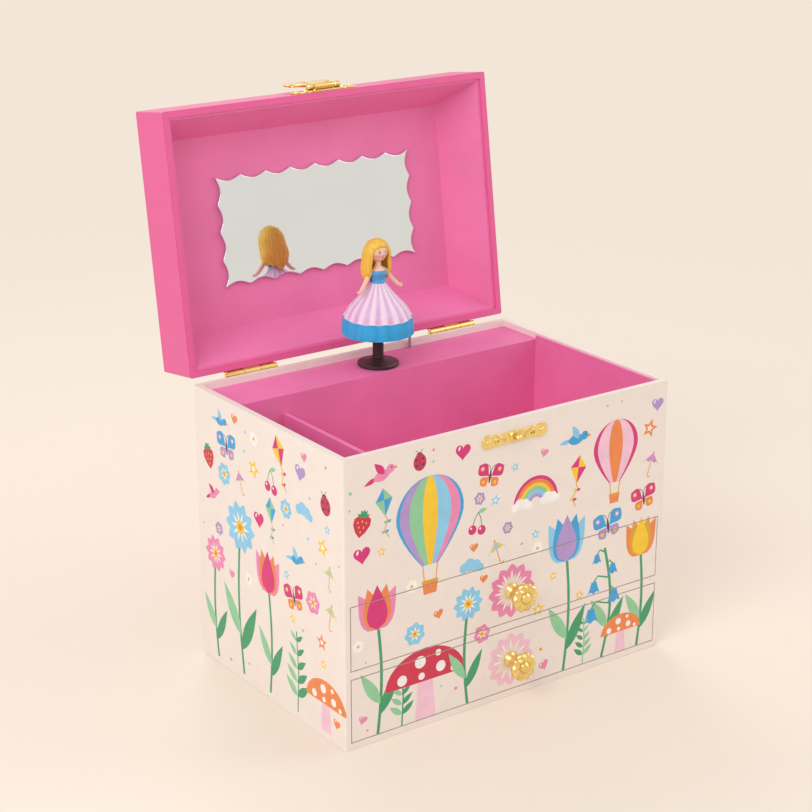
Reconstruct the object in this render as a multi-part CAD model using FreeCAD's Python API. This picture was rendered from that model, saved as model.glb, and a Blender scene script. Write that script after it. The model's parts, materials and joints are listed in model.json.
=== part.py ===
import FreeCAD, Part
import math
import os

# Musical jewellery box: paper-covered boards, two drawers, a mirrored lid and a doll
# that turns on a clockwork movement behind the bay wall. Millimetres. The origin is the
# middle of the underside, X runs right, the front faces -Y and Z is up. The box stands
# with its lid open.

V = FreeCAD.Vector

# Case
CASE_WIDTH = 155.0
CASE_DEPTH = 104.0
WALL = 2.5
BASE_BOARD = 2.8
SHELF_BOARD = 3.0
FLOOR_BOARD = 2.5
EDGE_RADIUS = 0.8
LINING = 1.0
LINING_DROP = 0.8
LINING_FIT = 0.05
COMPARTMENT_HEIGHT = 54.8
PARTITION = 2.0
PARTITION_FROM_LEFT = 26.0
PARTITION_DROP = 10.0

# Ledge and movement bay
LEDGE_DEPTH = 23.0
LEDGE_BOARD = 2.0
LEDGE_DROP = 2.5
BAY_WALL = 2.0

# Drawers
DRAWER_FRONT_HEIGHT = 25.4
DRAWER_FRONT = 3.0
DRAWER_BOARD = 2.0
DRAWER_BOTTOM = 1.6
DRAWER_SIDE_HEIGHT = 20.0
DRAWER_GAP = 0.4
DRAWER_BACK_ROOM = 4.0
KNOB_RADIUS = 6.0
KNOB_REACH = 10.5
KNOB_HEAD = 4.5
KNOB_STEM_RADIUS = 1.9
KNOB_FOOT_RADIUS = 3.2
KNOB_FOOT = 1.0
KNOB_BORE_DEPTH = 5.0
KNOB_SCREW_RADIUS = 1.2
KNOB_SCREW_HEAD_RADIUS = 2.8
KNOB_SCREW_HEAD = 1.2

# Lid
LID_HEIGHT = 22.5
LID_OPEN_ANGLE = 98.0
LID_SEAM = 0.3
LID_TOP_BOARD = 2.4
LID_PANEL = 0.4
LID_LINING_RIM = 1.0
LID_LINING_FOOT = 10.5
LID_LINING_DROP = 1.0
MIRROR_WIDTH = 95.0
MIRROR_HEIGHT = 45.0
MIRROR_THICKNESS = 1.5
MIRROR_SCALLOPS_LONG = 8
MIRROR_SCALLOPS_SHORT = 4
MIRROR_SCALLOP_DEPTH = 1.9

# Hinges
HINGE_WIDTH = 23.0
HINGE_SPACING = 100.0
HINGE_LEAF = 0.8
HINGE_LEAF_HEIGHT = 9.0
HINGE_AXIS_OUT = 1.8
HINGE_KNUCKLE_RADIUS = 1.5
HINGE_PIN_RADIUS = 0.8
HINGE_END_PLAY = 0.15
HINGE_STOP_LENGTH = 3.2
HINGE_STOP_GAP = 0.15
HINGE_NAIL_SPREAD = 15.0
HINGE_NAIL_OUT = 5.6

# Clasp
CLASP_RISE = 6.05
CLASP_PLATE = 0.8
CLASP_WIDTH = 31.2
CLASP_BAR_HEIGHT = 4.4
CLASP_LOBE_RADIUS = 2.8
CLASP_AXLE_OUT = 2.2
CLASP_AXLE_RADIUS = 0.7
CLASP_KNUCKLE_RADIUS = 1.35
CLASP_LUG_WIDTH = 2.6
CLASP_SIDE_PLAY = 0.3
FLAP_NECK_WIDTH = 9.6
FLAP_FOOT_WIDTH = 22.0
FLAP_THICKNESS = 0.9
FLAP_BELOW_STUD = 3.4
FLAP_NECK = 4.0
FLAP_FLARE = 1.9
FLAP_SHOULDER_RISE = 2.0
FLAP_SHOULDER_INSET = 0.3
FLAP_HEEL_RISE = 2.35
FLAP_HEEL_INSET = 1.1
FLAP_BACK_ANGLE = 176.0
STRIKE_DROP = 7.0
STRIKE_PLATE = 0.6
STUD_RADIUS = 1.4
STUD_NECK_RADIUS = 1.0
STUD_HOLE_PLAY = 0.5

# Nails and screws
NAIL_HEAD_RADIUS = 1.0
NAIL_HEAD = 0.5
NAIL_SHANK_RADIUS = 0.45
NAIL_DEPTH = 1.9
SCREW_HEAD_RADIUS = 1.8
SCREW_HEAD = 1.1
SCREW_SHANK_RADIUS = 0.8
SCREW_EDGE_ROOM = 1.0
SCREW_END_COVER = 0.5

# Gap of a close fit, and how far a cutting form runs past the face that it cuts
FIT = 0.05
OVERCUT = 1.0

# Doll, above the ledge
SPINDLE_SETBACK = 10.5
TURNTABLE_RADIUS = 8.5
TURNTABLE = 2.2
TURNTABLE_GAP = 0.3
TURNTABLE_RIM = 1.2
TURNTABLE_CREST = 1.85
TURNTABLE_CREST_RADIUS = 6.0
HUB_RADIUS = 3.0
STEM_RADIUS = 2.35
PIVOT_RISE = 3.0
HEM_RISE = 14.0
HEM_RADIUS = 15.4
HEM_BAND = 7.0
BAND_RADIUS = 14.3
GOWN_MIDDLE_RISE = 13.0
GOWN_MIDDLE_RADIUS = 9.5
GOWN_TOP_DROP = 1.7
GOWN_TOP_RADIUS = 3.75
GOWN_SHELL = 1.4
WAIST_RISE = 35.0
WAIST_RADIUS = 3.0
BUST_RADIUS = 3.9
SHOULDER_RISE = 42.0
NECK_RADIUS = 1.4
HEAD_RISE = 47.6
HEAD_RADIUS = 4.1
HEAD_HALF_HEIGHT = 4.35
FACE_HALF_WIDTH = 3.5
FACE_SETBACK = 1.0
FACE_RISE = 3.1
HAIR_RADIUS = 5.4
HAIR_OFFSET = 0.8
HAIR_FALL = 17.0
HAIR_FALL_HALF_WIDTH = 7.2
HAIR_FALL_HALF_DEPTH = 3.0
HAIR_FALL_SETBACK = 3.3
HAIR_FALL_DROP = 6.1
DOLL_JOINT_GAP = 0.08
ARM_REACH = 11.0
ARM_DROP = 2.2
SHOULDER_HALF_WIDTH = 2.7
HAND_FORWARD = 1.5
HAND_RISE = 32.0
ARM_RADIUS = 1.25
WRIST_RADIUS = 0.75
HAND_RADIUS = 0.95
PEG_RADIUS = 1.5
PEG_SHOULDER_RISE = 7.0
PEG_LENGTH = 8.0

# Movement
BEDPLATE = 1.5
BEDPLATE_LEFT = 30.0
BEDPLATE_RIGHT = 18.0
BEDPLATE_HEIGHT = 44.0
BEDPLATE_FOOT = 2.0
BARREL_RADIUS = 12.5
BARREL_FLOOR_ROOM = 1.5
BARREL_WALL = 1.1
BARREL_BACK_ROOM = 0.8
CROWN_TEETH = 36
PINION_TEETH = 12
CROWN_MODULE = 0.6
CROWN_FACE = 2.4
CROWN_ADDENDUM = 0.4
CROWN_DEDENDUM = 0.65
CROWN_PLAY = 0.3
ARBOR_RADIUS = 1.5
ARBOR_COLLAR_RADIUS = 2.4
ARBOR_NOSE = 1.0
BARREL_BORE_PLAY = 0.08
SPRING_TURNS = 4
SPRING_INNER_RADIUS = 3.4
SPRING_STRIP = 0.5
SPRING_ROOM = 0.5
SPINDLE_RADIUS = 1.2
SPINDLE_FLOAT = 0.5
BEARING_PLAY = 0.05
DRUM_RADIUS = 6.2
DRUM_LENGTH = 16.0
DRUM_PIN_RADIUS = 0.22
DRUM_PIN = 0.5
DRUM_PIN_COUNT = 54
DRUM_TRACK_STEP = 7
DRUM_TURN_STEP = 0.618034
WHEEL_TEETH = 36
GOVERNOR_TEETH = 8
WHEEL_MODULE = 0.4
WHEEL_THICKNESS = 1.0
WHEEL_ADDENDUM = 0.28
WHEEL_DEDENDUM = 0.5
WHEEL_PLAY = 0.16
WHEEL_RISE = 1.5
PRESSURE_ANGLE = 20.0
TOOTH_ROOT_SHARE = 0.46
GOVERNOR_ARBOR_RADIUS = 0.6
GOVERNOR_SIDE = 8.0
GOVERNOR_HEAD = 0.4
FAN_RADIUS = 3.9
FAN_HEIGHT = 7.0
FAN_BLADE = 0.4
FAN_DISC_RADIUS = 3.4
FAN_DISC = 0.6
FAN_FLOAT = 0.2
BRACKET_SHEET = 1.5
BRACKET_SIDE = 17.0
BRACKET_LIP = 2.5
BRACKET_END = 3.0
BRACKET_CROWN_ROOM = 0.6
COMB_TEETH = 18
COMB_PITCH = 0.85
COMB_TOOTH_HEIGHT = 0.55
COMB_TOOTH = 0.7
COMB_TOOTH_LENGTH = 9.0
COMB_PLATE = 1.6
COMB_PLATE_WIDTH = 9.0
COMB_REST_INSET = 1.0
COMB_SCREW_INSET = 3.5
COMB_SCREW_DEPTH = 5.0
COMB_TIP_ROOM = 0.3
BUSH_RADIUS = 2.6
BUSH_LENGTH = 3.4
KEY_HUB_RADIUS = 3.0
KEY_HUB_LENGTH = 6.5
KEY_STANDOFF = 1.0
KEY_CAP = 1.0
KEY_WEB_LAP = 2.2
KEY_SHEET = 1.6
KEY_WING_RADIUS = 5.5
KEY_WING_OUT = 7.0
KEY_WING_RISE = 3.0
KEY_EYE_RADIUS = 2.6
KEYHOLE_RADIUS = 4.0
ESCUTCHEON_RADIUS = 6.5
ESCUTCHEON = 0.6
STOP_PIN_RADIUS = 0.6
STOP_PIN_X = 24.0
STOP_PIN_BACK_ROOM = 1.2
STOP_PIN_TRAVEL = 3.0
STOP_PIN_LID_GAP = 0.2
STOP_PIN_DISC_GAP = 0.2
STOP_TIP_SIDE = 1.9
STOP_TIP_BACK = 1.0

# Places worked out from the sizes above
half_width = CASE_WIDTH / 2
half_depth = CASE_DEPTH / 2
inner_x = half_width - WALL
inner_y = half_depth - WALL
lower_drawer_z = BASE_BOARD + DRAWER_GAP
shelf_z = lower_drawer_z + DRAWER_FRONT_HEIGHT + DRAWER_GAP
upper_drawer_z = shelf_z + SHELF_BOARD + DRAWER_GAP
floor_z = upper_drawer_z + DRAWER_FRONT_HEIGHT + DRAWER_GAP
floor_top = floor_z + FLOOR_BOARD
body_height = floor_top + COMPARTMENT_HEIGHT
ledge_top = body_height - LEDGE_DROP
ledge_under = ledge_top - LEDGE_BOARD
ledge_front = inner_y - LEDGE_DEPTH
bay_front = ledge_front + BAY_WALL
partition_x = PARTITION_FROM_LEFT - half_width
lid_bottom = body_height + LID_SEAM
lid_top = body_height + LID_HEIGHT
lid_ceiling = lid_top - LID_TOP_BOARD - LID_PANEL
hinge_y = half_depth + HINGE_AXIS_OUT
hinge_z = body_height
clasp_y = -half_depth - CLASP_AXLE_OUT
clasp_z = lid_bottom + CLASP_RISE
strike_z = body_height - STRIKE_DROP
clasp_lobe_x = CLASP_WIDTH / 2 - CLASP_LOBE_RADIUS
spindle_y = ledge_front + SPINDLE_SETBACK
pivot_z = ledge_top + PIVOT_RISE
hem_z = ledge_top + HEM_RISE
waist_z = ledge_top + WAIST_RISE
shoulder_z = ledge_top + SHOULDER_RISE
head_z = ledge_top + HEAD_RISE
peg_shoulder_z = hem_z + PEG_SHOULDER_RISE
bedplate_face = inner_y - BEDPLATE
bedplate_z = floor_top + BEDPLATE_FOOT
barrel_z = floor_top + BARREL_FLOOR_ROOM + BARREL_RADIUS
crown_radius = CROWN_TEETH * CROWN_MODULE / 2
pinion_radius = PINION_TEETH * CROWN_MODULE / 2
crown_plane = spindle_y + pinion_radius
barrel_face = crown_plane + CROWN_DEDENDUM
barrel_back = bedplate_face - BARREL_BACK_ROOM
pinion_z0 = barrel_z + crown_radius - CROWN_FACE / 2
pinion_z1 = barrel_z + crown_radius + CROWN_FACE / 2
wheel_z = pinion_z1 + WHEEL_RISE
drum_z = wheel_z + WHEEL_THICKNESS
wheel_distance = (WHEEL_TEETH + GOVERNOR_TEETH) * WHEEL_MODULE / 2
governor_x = GOVERNOR_SIDE
governor_y = spindle_y - math.sqrt(wheel_distance ** 2 - governor_x ** 2)
bearing_top = pinion_z0 - SPINDLE_FLOAT
bearing_z = bearing_top - BRACKET_SHEET
fan_z = barrel_z - FAN_HEIGHT
fan_disc_z = fan_z + FAN_HEIGHT + FAN_DISC
bracket_z = fan_z - FAN_FLOAT - BRACKET_SHEET
stop_pin_y = inner_y - STOP_PIN_BACK_ROOM
stop_pin_top = lid_bottom + LID_LINING_DROP - STOP_PIN_LID_GAP + STOP_PIN_TRAVEL
stop_arm_z = fan_disc_z + FAN_DISC + STOP_PIN_DISC_GAP + STOP_PIN_TRAVEL + STOP_PIN_RADIUS


def block(x0, x1, y0, y1, z0, z1):
    """Board between two corners, each pair in either order."""
    return Part.makeBox(abs(x1 - x0), abs(y1 - y0), abs(z1 - z0), V(min(x0, x1), min(y0, y1), min(z0, z1)))


def rod(radius, start, end):
    """Round rod between two points."""
    return Part.makeCylinder(radius, (end - start).Length, start, end - start)


def rod_x(radius, x0, x1, y, z):
    return rod(radius, V(x0, y, z), V(x1, y, z))


def rod_y(radius, y0, y1, x, z):
    return rod(radius, V(x, y0, z), V(x, y1, z))


def rod_z(radius, z0, z1, x=0.0, y=None):
    """Upright rod, on the spindle's line unless a place is given."""
    foot_y = spindle_y if y is None else y
    return rod(radius, V(x, foot_y, z0), V(x, foot_y, z1))


def fused(shapes):
    return shapes[0].multiFuse(shapes[1:]).removeSplitter()


def group(shapes):
    return Part.makeCompound(shapes)


def spline(points):
    """Smooth curve through (radius, height) pairs in the XZ plane."""
    curve = Part.BSplineCurve()
    curve.interpolate([V(r, 0, z) for r, z in points])
    return curve


def wire_face(curves):
    """Flat face inside a closed run of curves, listed in any order."""
    return Part.Face(Part.Wire(Part.__sortEdges__([c.toShape() for c in curves])))


def polygon(points):
    return Part.Face(Part.makePolygon(points + points[:1]))


def prism(start, end):
    """Solid between two like outlines, given as matching corner points."""
    count = len(start)
    after = [(i + 1) % count for i in range(count)]
    sides = [polygon([start[i], start[j], end[j], end[i]]) for i, j in enumerate(after)]
    solid = Part.makeSolid(Part.makeShell([polygon(start), polygon(end)] + sides))
    if solid.Volume < 0:
        solid.reverse()
    return solid


def softened(shape, radius, chosen):
    """Round the edges whose middle satisfies the test."""
    return shape.makeFillet(radius, [e for e in shape.Edges if chosen(e.CenterOfMass)])


def turned(profile, x, y):
    """Solid of revolution about the vertical through x, y; profile is a face in the XZ plane."""
    solid = profile.revolve(V(0, 0, 0), V(0, 0, 1), 360)
    solid.translate(V(x, y, 0))
    return solid


def opened(shape):
    """Swing a piece of the closed lid to the open place."""
    shape.rotate(V(0, hinge_y, hinge_z), V(1, 0, 0), -LID_OPEN_ANGLE)
    return shape


def at_corner(x, y):
    """Test for an upright outer corner edge of the case or lid."""
    def test(p):
        return abs(p.x - x) < FIT and abs(abs(p.y) - y) < FIT
    return test


def nail(x, z, face, out):
    """Round-headed nail driven along Y; out is the side, -1 front or 1 back, of the plate's face."""
    head = rod_y(NAIL_HEAD_RADIUS, face, face + out * NAIL_HEAD, x, z)
    return fused([head, rod_y(NAIL_SHANK_RADIUS, face, out * (half_depth - NAIL_DEPTH), x, z)])


def nail_hole(x, z, out):
    """Clearance hole for a nail, through plate and into the board."""
    return rod_y(NAIL_SHANK_RADIUS + FIT, out * half_depth - 2 * WALL, out * half_depth + 2 * WALL, x, z)


# Fastening points shared by plates, boards and nails
hinge_centres = [-HINGE_SPACING / 2, HINGE_SPACING / 2]
hinge_nail_xs = [c + s * HINGE_NAIL_SPREAD / 2 for c in hinge_centres for s in (-1, 1)]
case_leaf_nail_z = body_height - HINGE_NAIL_OUT
lid_leaf_nail_z = body_height + HINGE_NAIL_OUT
clasp_nail_xs = [-clasp_lobe_x, clasp_lobe_x]
bedplate_top = bedplate_z + BEDPLATE_HEIGHT
screw_inset = SCREW_HEAD_RADIUS + SCREW_EDGE_ROOM
screw_end = half_depth - SCREW_END_COVER
bedplate_screws = [(x, z) for x in (-BEDPLATE_LEFT + screw_inset, BEDPLATE_RIGHT - screw_inset)
                   for z in (bedplate_z + screw_inset, bedplate_top - screw_inset)]
comb_x1 = -(DRUM_RADIUS + DRUM_PIN + COMB_TIP_ROOM + COMB_TOOTH_LENGTH)
comb_x0 = comb_x1 - COMB_PLATE_WIDTH
comb_face = spindle_y - COMB_PLATE / 2
comb_z0 = drum_z + (DRUM_LENGTH - COMB_TEETH * COMB_PITCH) / 2
comb_z1 = comb_z0 + COMB_TEETH * COMB_PITCH
comb_screws = [(comb_x0 + COMB_PLATE_WIDTH / 2, z)
               for z in (comb_z0 + COMB_SCREW_INSET, comb_z1 - COMB_SCREW_INSET)]


def case_boards():
    wall = block(-half_width, -inner_x, -half_depth, half_depth, 0, body_height)
    left = softened(wall, EDGE_RADIUS, at_corner(-half_width, half_depth))
    right = left.mirror(V(0, 0, 0), V(1, 0, 0))
    back = block(-inner_x, inner_x, inner_y, half_depth, BASE_BOARD, body_height)
    back_holes = [nail_hole(x, case_leaf_nail_z, 1) for x in hinge_nail_xs]
    back_holes += [rod_y(SCREW_SHANK_RADIUS + FIT, inner_y - OVERCUT, screw_end, x, z)
                   for x, z in bedplate_screws]
    back_holes.append(rod_y(KEYHOLE_RADIUS, inner_y - OVERCUT, half_depth + OVERCUT, 0, barrel_z))
    front = block(-inner_x, inner_x, -half_depth, -inner_y, floor_z, body_height)
    front_holes = [nail_hole(x, strike_z, -1) for x in clasp_nail_xs]
    ledge = block(-inner_x, inner_x, ledge_front, inner_y, ledge_under, ledge_top)
    hole_z = (ledge_under - OVERCUT, ledge_top + OVERCUT)
    ledge_holes = [rod_z(BUSH_RADIUS + FIT, *hole_z),
                   rod_z(STOP_PIN_RADIUS + BEARING_PLAY, *hole_z, STOP_PIN_X, stop_pin_y)]
    return {
        "base_board": block(-inner_x, inner_x, -half_depth, half_depth, 0, BASE_BOARD),
        "left_wall": left,
        "right_wall": right,
        "back_wall": back.cut(back_holes),
        "front_panel": front.cut(front_holes),
        "drawer_shelf": block(-inner_x, inner_x, -half_depth, inner_y, shelf_z, shelf_z + SHELF_BOARD),
        "compartment_floor": block(-inner_x, inner_x, -inner_y, inner_y, floor_z, floor_top),
        "bay_wall": block(-inner_x, inner_x, ledge_front, bay_front, floor_top, ledge_under),
        "ledge_board": ledge.cut(ledge_holes),
        "partition": block(partition_x - PARTITION / 2, partition_x + PARTITION / 2,
                           -inner_y + LINING + LINING_FIT, ledge_front - LINING_FIT,
                           floor_top + LINING + LINING_FIT, body_height - PARTITION_DROP),
    }


def compartment_lining():
    """Covered card on the compartment's front, two ends and floor."""
    top = body_height - LINING_DROP
    front = block(-inner_x, inner_x, -inner_y, -inner_y + LINING, floor_top, top)
    ends = [block(s * inner_x, s * (inner_x - LINING), -inner_y + LINING, ledge_front, floor_top, top)
            for s in (-1, 1)]
    floor = block(-inner_x + LINING, inner_x - LINING, -inner_y + LINING, ledge_front,
                  floor_top, floor_top + LINING)
    return {"compartment_lining": group([front] + ends + [floor])}


def drawer(name, z0):
    """One drawer: front board, glued box, bottom, knob and its screw."""
    z1 = z0 + DRAWER_FRONT_HEIGHT
    knob_z = (z0 + z1) / 2
    front_x = inner_x - DRAWER_GAP
    front_back = -half_depth + DRAWER_FRONT
    box_back = inner_y - DRAWER_BACK_ROOM
    side_z0 = z0 + DRAWER_BOTTOM
    side_z1 = z0 + DRAWER_SIDE_HEIGHT
    front = block(-front_x, front_x, -half_depth, front_back, z0, z1)
    front = front.cut(rod_y(KNOB_SCREW_RADIUS + FIT, -half_depth - OVERCUT, front_back + OVERCUT, 0, knob_z))
    sides = [block(s * front_x, s * (front_x - DRAWER_BOARD), front_back, box_back, side_z0, side_z1)
             for s in (-1, 1)]
    rear = block(-front_x + DRAWER_BOARD, front_x - DRAWER_BOARD, box_back - DRAWER_BOARD, box_back,
                 side_z0, side_z1)
    bottom = block(-front_x, front_x, front_back, box_back, z0, side_z0)
    return {
        name + "_front": front,
        name + "_box": group(sides + [rear]),
        name + "_bottom": bottom,
        name + "_knob": knob(knob_z),
        name + "_knob_screw": knob_screw(knob_z, front_back),
    }


def knob(z):
    """Brass knob turned about Y: foot, waisted stem and domed face."""
    neck = KNOB_REACH - KNOB_HEAD
    rim = KNOB_REACH - KNOB_HEAD / 2
    dome = KNOB_REACH - rim
    dome_radius = (KNOB_RADIUS ** 2 + dome ** 2) / (2 * dome)
    half_arc = math.asin(KNOB_RADIUS / dome_radius) / 2
    crest = V(dome_radius * math.sin(half_arc), 0, KNOB_REACH - dome_radius * (1 - math.cos(half_arc)))
    edges = [
        Part.LineSegment(V(0, 0, 0), V(KNOB_FOOT_RADIUS, 0, 0)),
        Part.LineSegment(V(KNOB_FOOT_RADIUS, 0, 0), V(KNOB_FOOT_RADIUS, 0, KNOB_FOOT)),
        Part.Arc(V(KNOB_FOOT_RADIUS, 0, KNOB_FOOT), V(KNOB_STEM_RADIUS, 0, (KNOB_FOOT + neck) / 2),
                 V(KNOB_FOOT_RADIUS, 0, neck)),
        Part.LineSegment(V(KNOB_FOOT_RADIUS, 0, neck), V(KNOB_RADIUS, 0, rim)),
        Part.Arc(V(KNOB_RADIUS, 0, rim), crest, V(0, 0, KNOB_REACH)),
        Part.LineSegment(V(0, 0, KNOB_REACH), V(0, 0, 0)),
    ]
    solid = turned(wire_face(edges), 0, 0)
    solid = solid.cut(rod(KNOB_SCREW_RADIUS + FIT, V(0, 0, 0), V(0, 0, KNOB_BORE_DEPTH)))
    solid.rotate(V(0, 0, 0), V(1, 0, 0), 90)
    solid.translate(V(0, -half_depth, z))
    return solid


def knob_screw(z, inner_face):
    shank = rod_y(KNOB_SCREW_RADIUS, -half_depth - KNOB_BORE_DEPTH + FIT, inner_face, 0, z)
    head = rod_y(KNOB_SCREW_HEAD_RADIUS, inner_face, inner_face + KNOB_SCREW_HEAD, 0, z)
    return fused([shank, head])


def lid_boards():
    board_z = lid_top - LID_TOP_BOARD

    def outer_edge(p):
        upright = abs(abs(p.x) - half_width) < FIT and abs(abs(p.y) - half_depth) < FIT
        on_side = abs(abs(p.x) - half_width) < FIT or abs(abs(p.y) - half_depth) < FIT
        return upright or (on_side and abs(p.z - lid_top) < FIT)

    top = block(-half_width, half_width, -half_depth, half_depth, board_z, lid_top)
    rail = block(-half_width, -inner_x, -half_depth, half_depth, lid_bottom, board_z)
    left = softened(rail, EDGE_RADIUS, at_corner(-half_width, half_depth))
    front = block(-inner_x, inner_x, -half_depth, -inner_y, lid_bottom, board_z)
    back = block(-inner_x, inner_x, inner_y, half_depth, lid_bottom, board_z)
    return {
        "lid_top": opened(softened(top, EDGE_RADIUS, outer_edge)),
        "lid_left_rail": opened(left.copy()),
        "lid_right_rail": opened(left.mirror(V(0, 0, 0), V(1, 0, 0))),
        "lid_front_rail": opened(front.cut([nail_hole(x, clasp_z, -1) for x in clasp_nail_xs])),
        "lid_back_rail": opened(back.cut([nail_hole(x, lid_leaf_nail_z, 1) for x in hinge_nail_xs])),
        "lid_panel": opened(block(-inner_x, inner_x, -inner_y, inner_y, lid_ceiling, board_z)),
        "lid_lining": opened(lid_lining()),
    }


def lid_lining():
    """Four sloping strips, mitred at the corners, from the rim down to the lid's panel."""
    z0 = lid_bottom + LID_LINING_DROP
    foot_x = inner_x - LID_LINING_FOOT
    foot_y = inner_y - LID_LINING_FOOT
    rim_x = inner_x - LID_LINING_RIM
    rim_y = inner_y - LID_LINING_RIM

    def strip(sign, along_x):
        def at(run, across, z):
            return V(run, sign * across, z) if along_x else V(sign * across, run, z)
        run_out, run_rim, run_foot = (inner_x, rim_x, foot_x) if along_x else (inner_y, rim_y, foot_y)
        out, rim, foot = (inner_y, rim_y, foot_y) if along_x else (inner_x, rim_x, foot_x)
        ends = [[at(s * run_out, out, z0), at(s * run_rim, rim, z0), at(s * run_foot, foot, lid_ceiling),
                 at(s * run_out, out, lid_ceiling)] for s in (-1, 1)]
        return prism(*ends)

    return group([strip(s, along) for along in (True, False) for s in (-1, 1)])


def mirror():
    """Sheet with a scalloped edge: concave bites between points all round."""
    half_w = MIRROR_WIDTH / 2
    half_h = MIRROR_HEIGHT / 2
    z0 = lid_ceiling - MIRROR_THICKNESS
    corners = [(-half_w, -half_h), (half_w, -half_h), (half_w, half_h), (-half_w, half_h)]
    edges = []
    for i, (x0, y0) in enumerate(corners):
        x1, y1 = corners[(i + 1) % 4]
        count = MIRROR_SCALLOPS_LONG if y0 == y1 else MIRROR_SCALLOPS_SHORT
        length = math.hypot(x1 - x0, y1 - y0)
        inward = V(-(y1 - y0) / length, (x1 - x0) / length, 0) * MIRROR_SCALLOP_DEPTH
        for k in range(count):
            a = V(x0 + (x1 - x0) * k / count, y0 + (y1 - y0) * k / count, z0)
            b = V(x0 + (x1 - x0) * (k + 1) / count, y0 + (y1 - y0) * (k + 1) / count, z0)
            edges.append(Part.Arc(a, (a + b) * 0.5 + inward, b))
    return {"mirror": opened(wire_face(edges).extrude(V(0, 0, MIRROR_THICKNESS)))}


def hinges():
    """Two butt hinges on the outside of the back, each with a heel that stops the lid open."""
    case_leaves = []
    lid_leaves = []
    pins = []
    knuckle = HINGE_WIDTH / 3
    for c in hinge_centres:
        x0 = c - HINGE_WIDTH / 2
        x1 = c + HINGE_WIDTH / 2
        gap_x0 = x0 + knuckle - HINGE_END_PLAY / 2
        gap_x1 = x1 - knuckle + HINGE_END_PLAY / 2
        bore = rod_x(HINGE_PIN_RADIUS + FIT, x0 - OVERCUT, x1 + OVERCUT, hinge_y, hinge_z)
        plate_y1 = half_depth + HINGE_LEAF
        clear = HINGE_KNUCKLE_RADIUS + HINGE_END_PLAY
        case_plate = block(x0, x1, half_depth, plate_y1, hinge_z - HINGE_LEAF_HEIGHT, hinge_z - clear)
        case_shape = [case_plate]
        for a, b in ((x0, gap_x0), (gap_x1, x1)):
            case_shape.append(rod_x(HINGE_KNUCKLE_RADIUS, a, b, hinge_y, hinge_z))
            case_shape.append(block(a, b, half_depth + FIT, plate_y1, hinge_z - clear, hinge_z))
        nail_holes = [nail_hole(x, case_leaf_nail_z, 1) for x in hinge_nail_xs]
        case_leaves.append(fused(case_shape).cut([bore] + nail_holes))
        lid_x0 = gap_x0 + HINGE_END_PLAY
        lid_x1 = gap_x1 - HINGE_END_PLAY
        lid_shape = [
            block(x0, x1, half_depth, plate_y1, hinge_z + clear, hinge_z + HINGE_LEAF_HEIGHT),
            block(lid_x0, lid_x1, half_depth + FIT, plate_y1, hinge_z, hinge_z + clear),
            rod_x(HINGE_KNUCKLE_RADIUS, lid_x0, lid_x1, hinge_y, hinge_z),
        ]
        lid_leaf = fused(lid_shape).cut([nail_hole(x, lid_leaf_nail_z, 1) for x in hinge_nail_xs])
        heel_y = plate_y1 + HINGE_STOP_GAP
        heel = block(lid_x0, lid_x1, heel_y, hinge_y, hinge_z - HINGE_STOP_LENGTH, hinge_z)
        lid_leaves.append(fused([opened(lid_leaf), heel]).cut(bore))
        pins.append(rod_x(HINGE_PIN_RADIUS, x0 - NAIL_HEAD, x1 + NAIL_HEAD, hinge_y, hinge_z))
    return {
        "hinge_case_leaves": group(case_leaves),
        "hinge_lid_leaves": group(lid_leaves),
        "hinge_pins": group(pins),
    }


def lobed_plate(z, thickness):
    """Clasp plate: a bar with a round lobe for a nail at each end."""
    y0 = -half_depth - thickness
    half = CLASP_BAR_HEIGHT / 2
    bar = block(-clasp_lobe_x, clasp_lobe_x, y0, -half_depth, z - half, z + half)
    lobes = [rod_y(CLASP_LOBE_RADIUS, y0, -half_depth, x, z) for x in clasp_nail_xs]
    return fused([bar] + lobes).cut([nail_hole(x, z, -1) for x in clasp_nail_xs])


def clasp():
    """Lobed plate on the lid with its axle, the hanging flap, and the strike plate with its stud."""
    flap_half = FLAP_NECK_WIDTH / 2
    lug_x0 = flap_half + CLASP_SIDE_PLAY
    lug_x1 = lug_x0 + CLASP_LUG_WIDTH
    plate = [lobed_plate(clasp_z, CLASP_PLATE)]
    for s in (-1, 1):
        plate.append(rod_x(CLASP_KNUCKLE_RADIUS, s * lug_x0, s * lug_x1, clasp_y, clasp_z))
        plate.append(block(s * lug_x0, s * lug_x1, clasp_y, -half_depth,
                           clasp_z - CLASP_AXLE_RADIUS, clasp_z + CLASP_AXLE_RADIUS))
    plate.append(rod_x(CLASP_AXLE_RADIUS, -lug_x1, lug_x1, clasp_y, clasp_z))
    stud_y = clasp_y - FLAP_THICKNESS / 2
    stud_neck = rod_y(STUD_NECK_RADIUS, stud_y, -half_depth - STRIKE_PLATE / 2, 0, strike_z)
    stud = Part.makeSphere(STUD_RADIUS, V(0, stud_y, strike_z))
    strike = fused([lobed_plate(strike_z, STRIKE_PLATE), stud_neck, stud])
    return {
        "clasp_plate": opened(fused(plate)),
        "clasp_flap": opened(clasp_flap()),
        "strike_plate": strike,
    }


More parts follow.
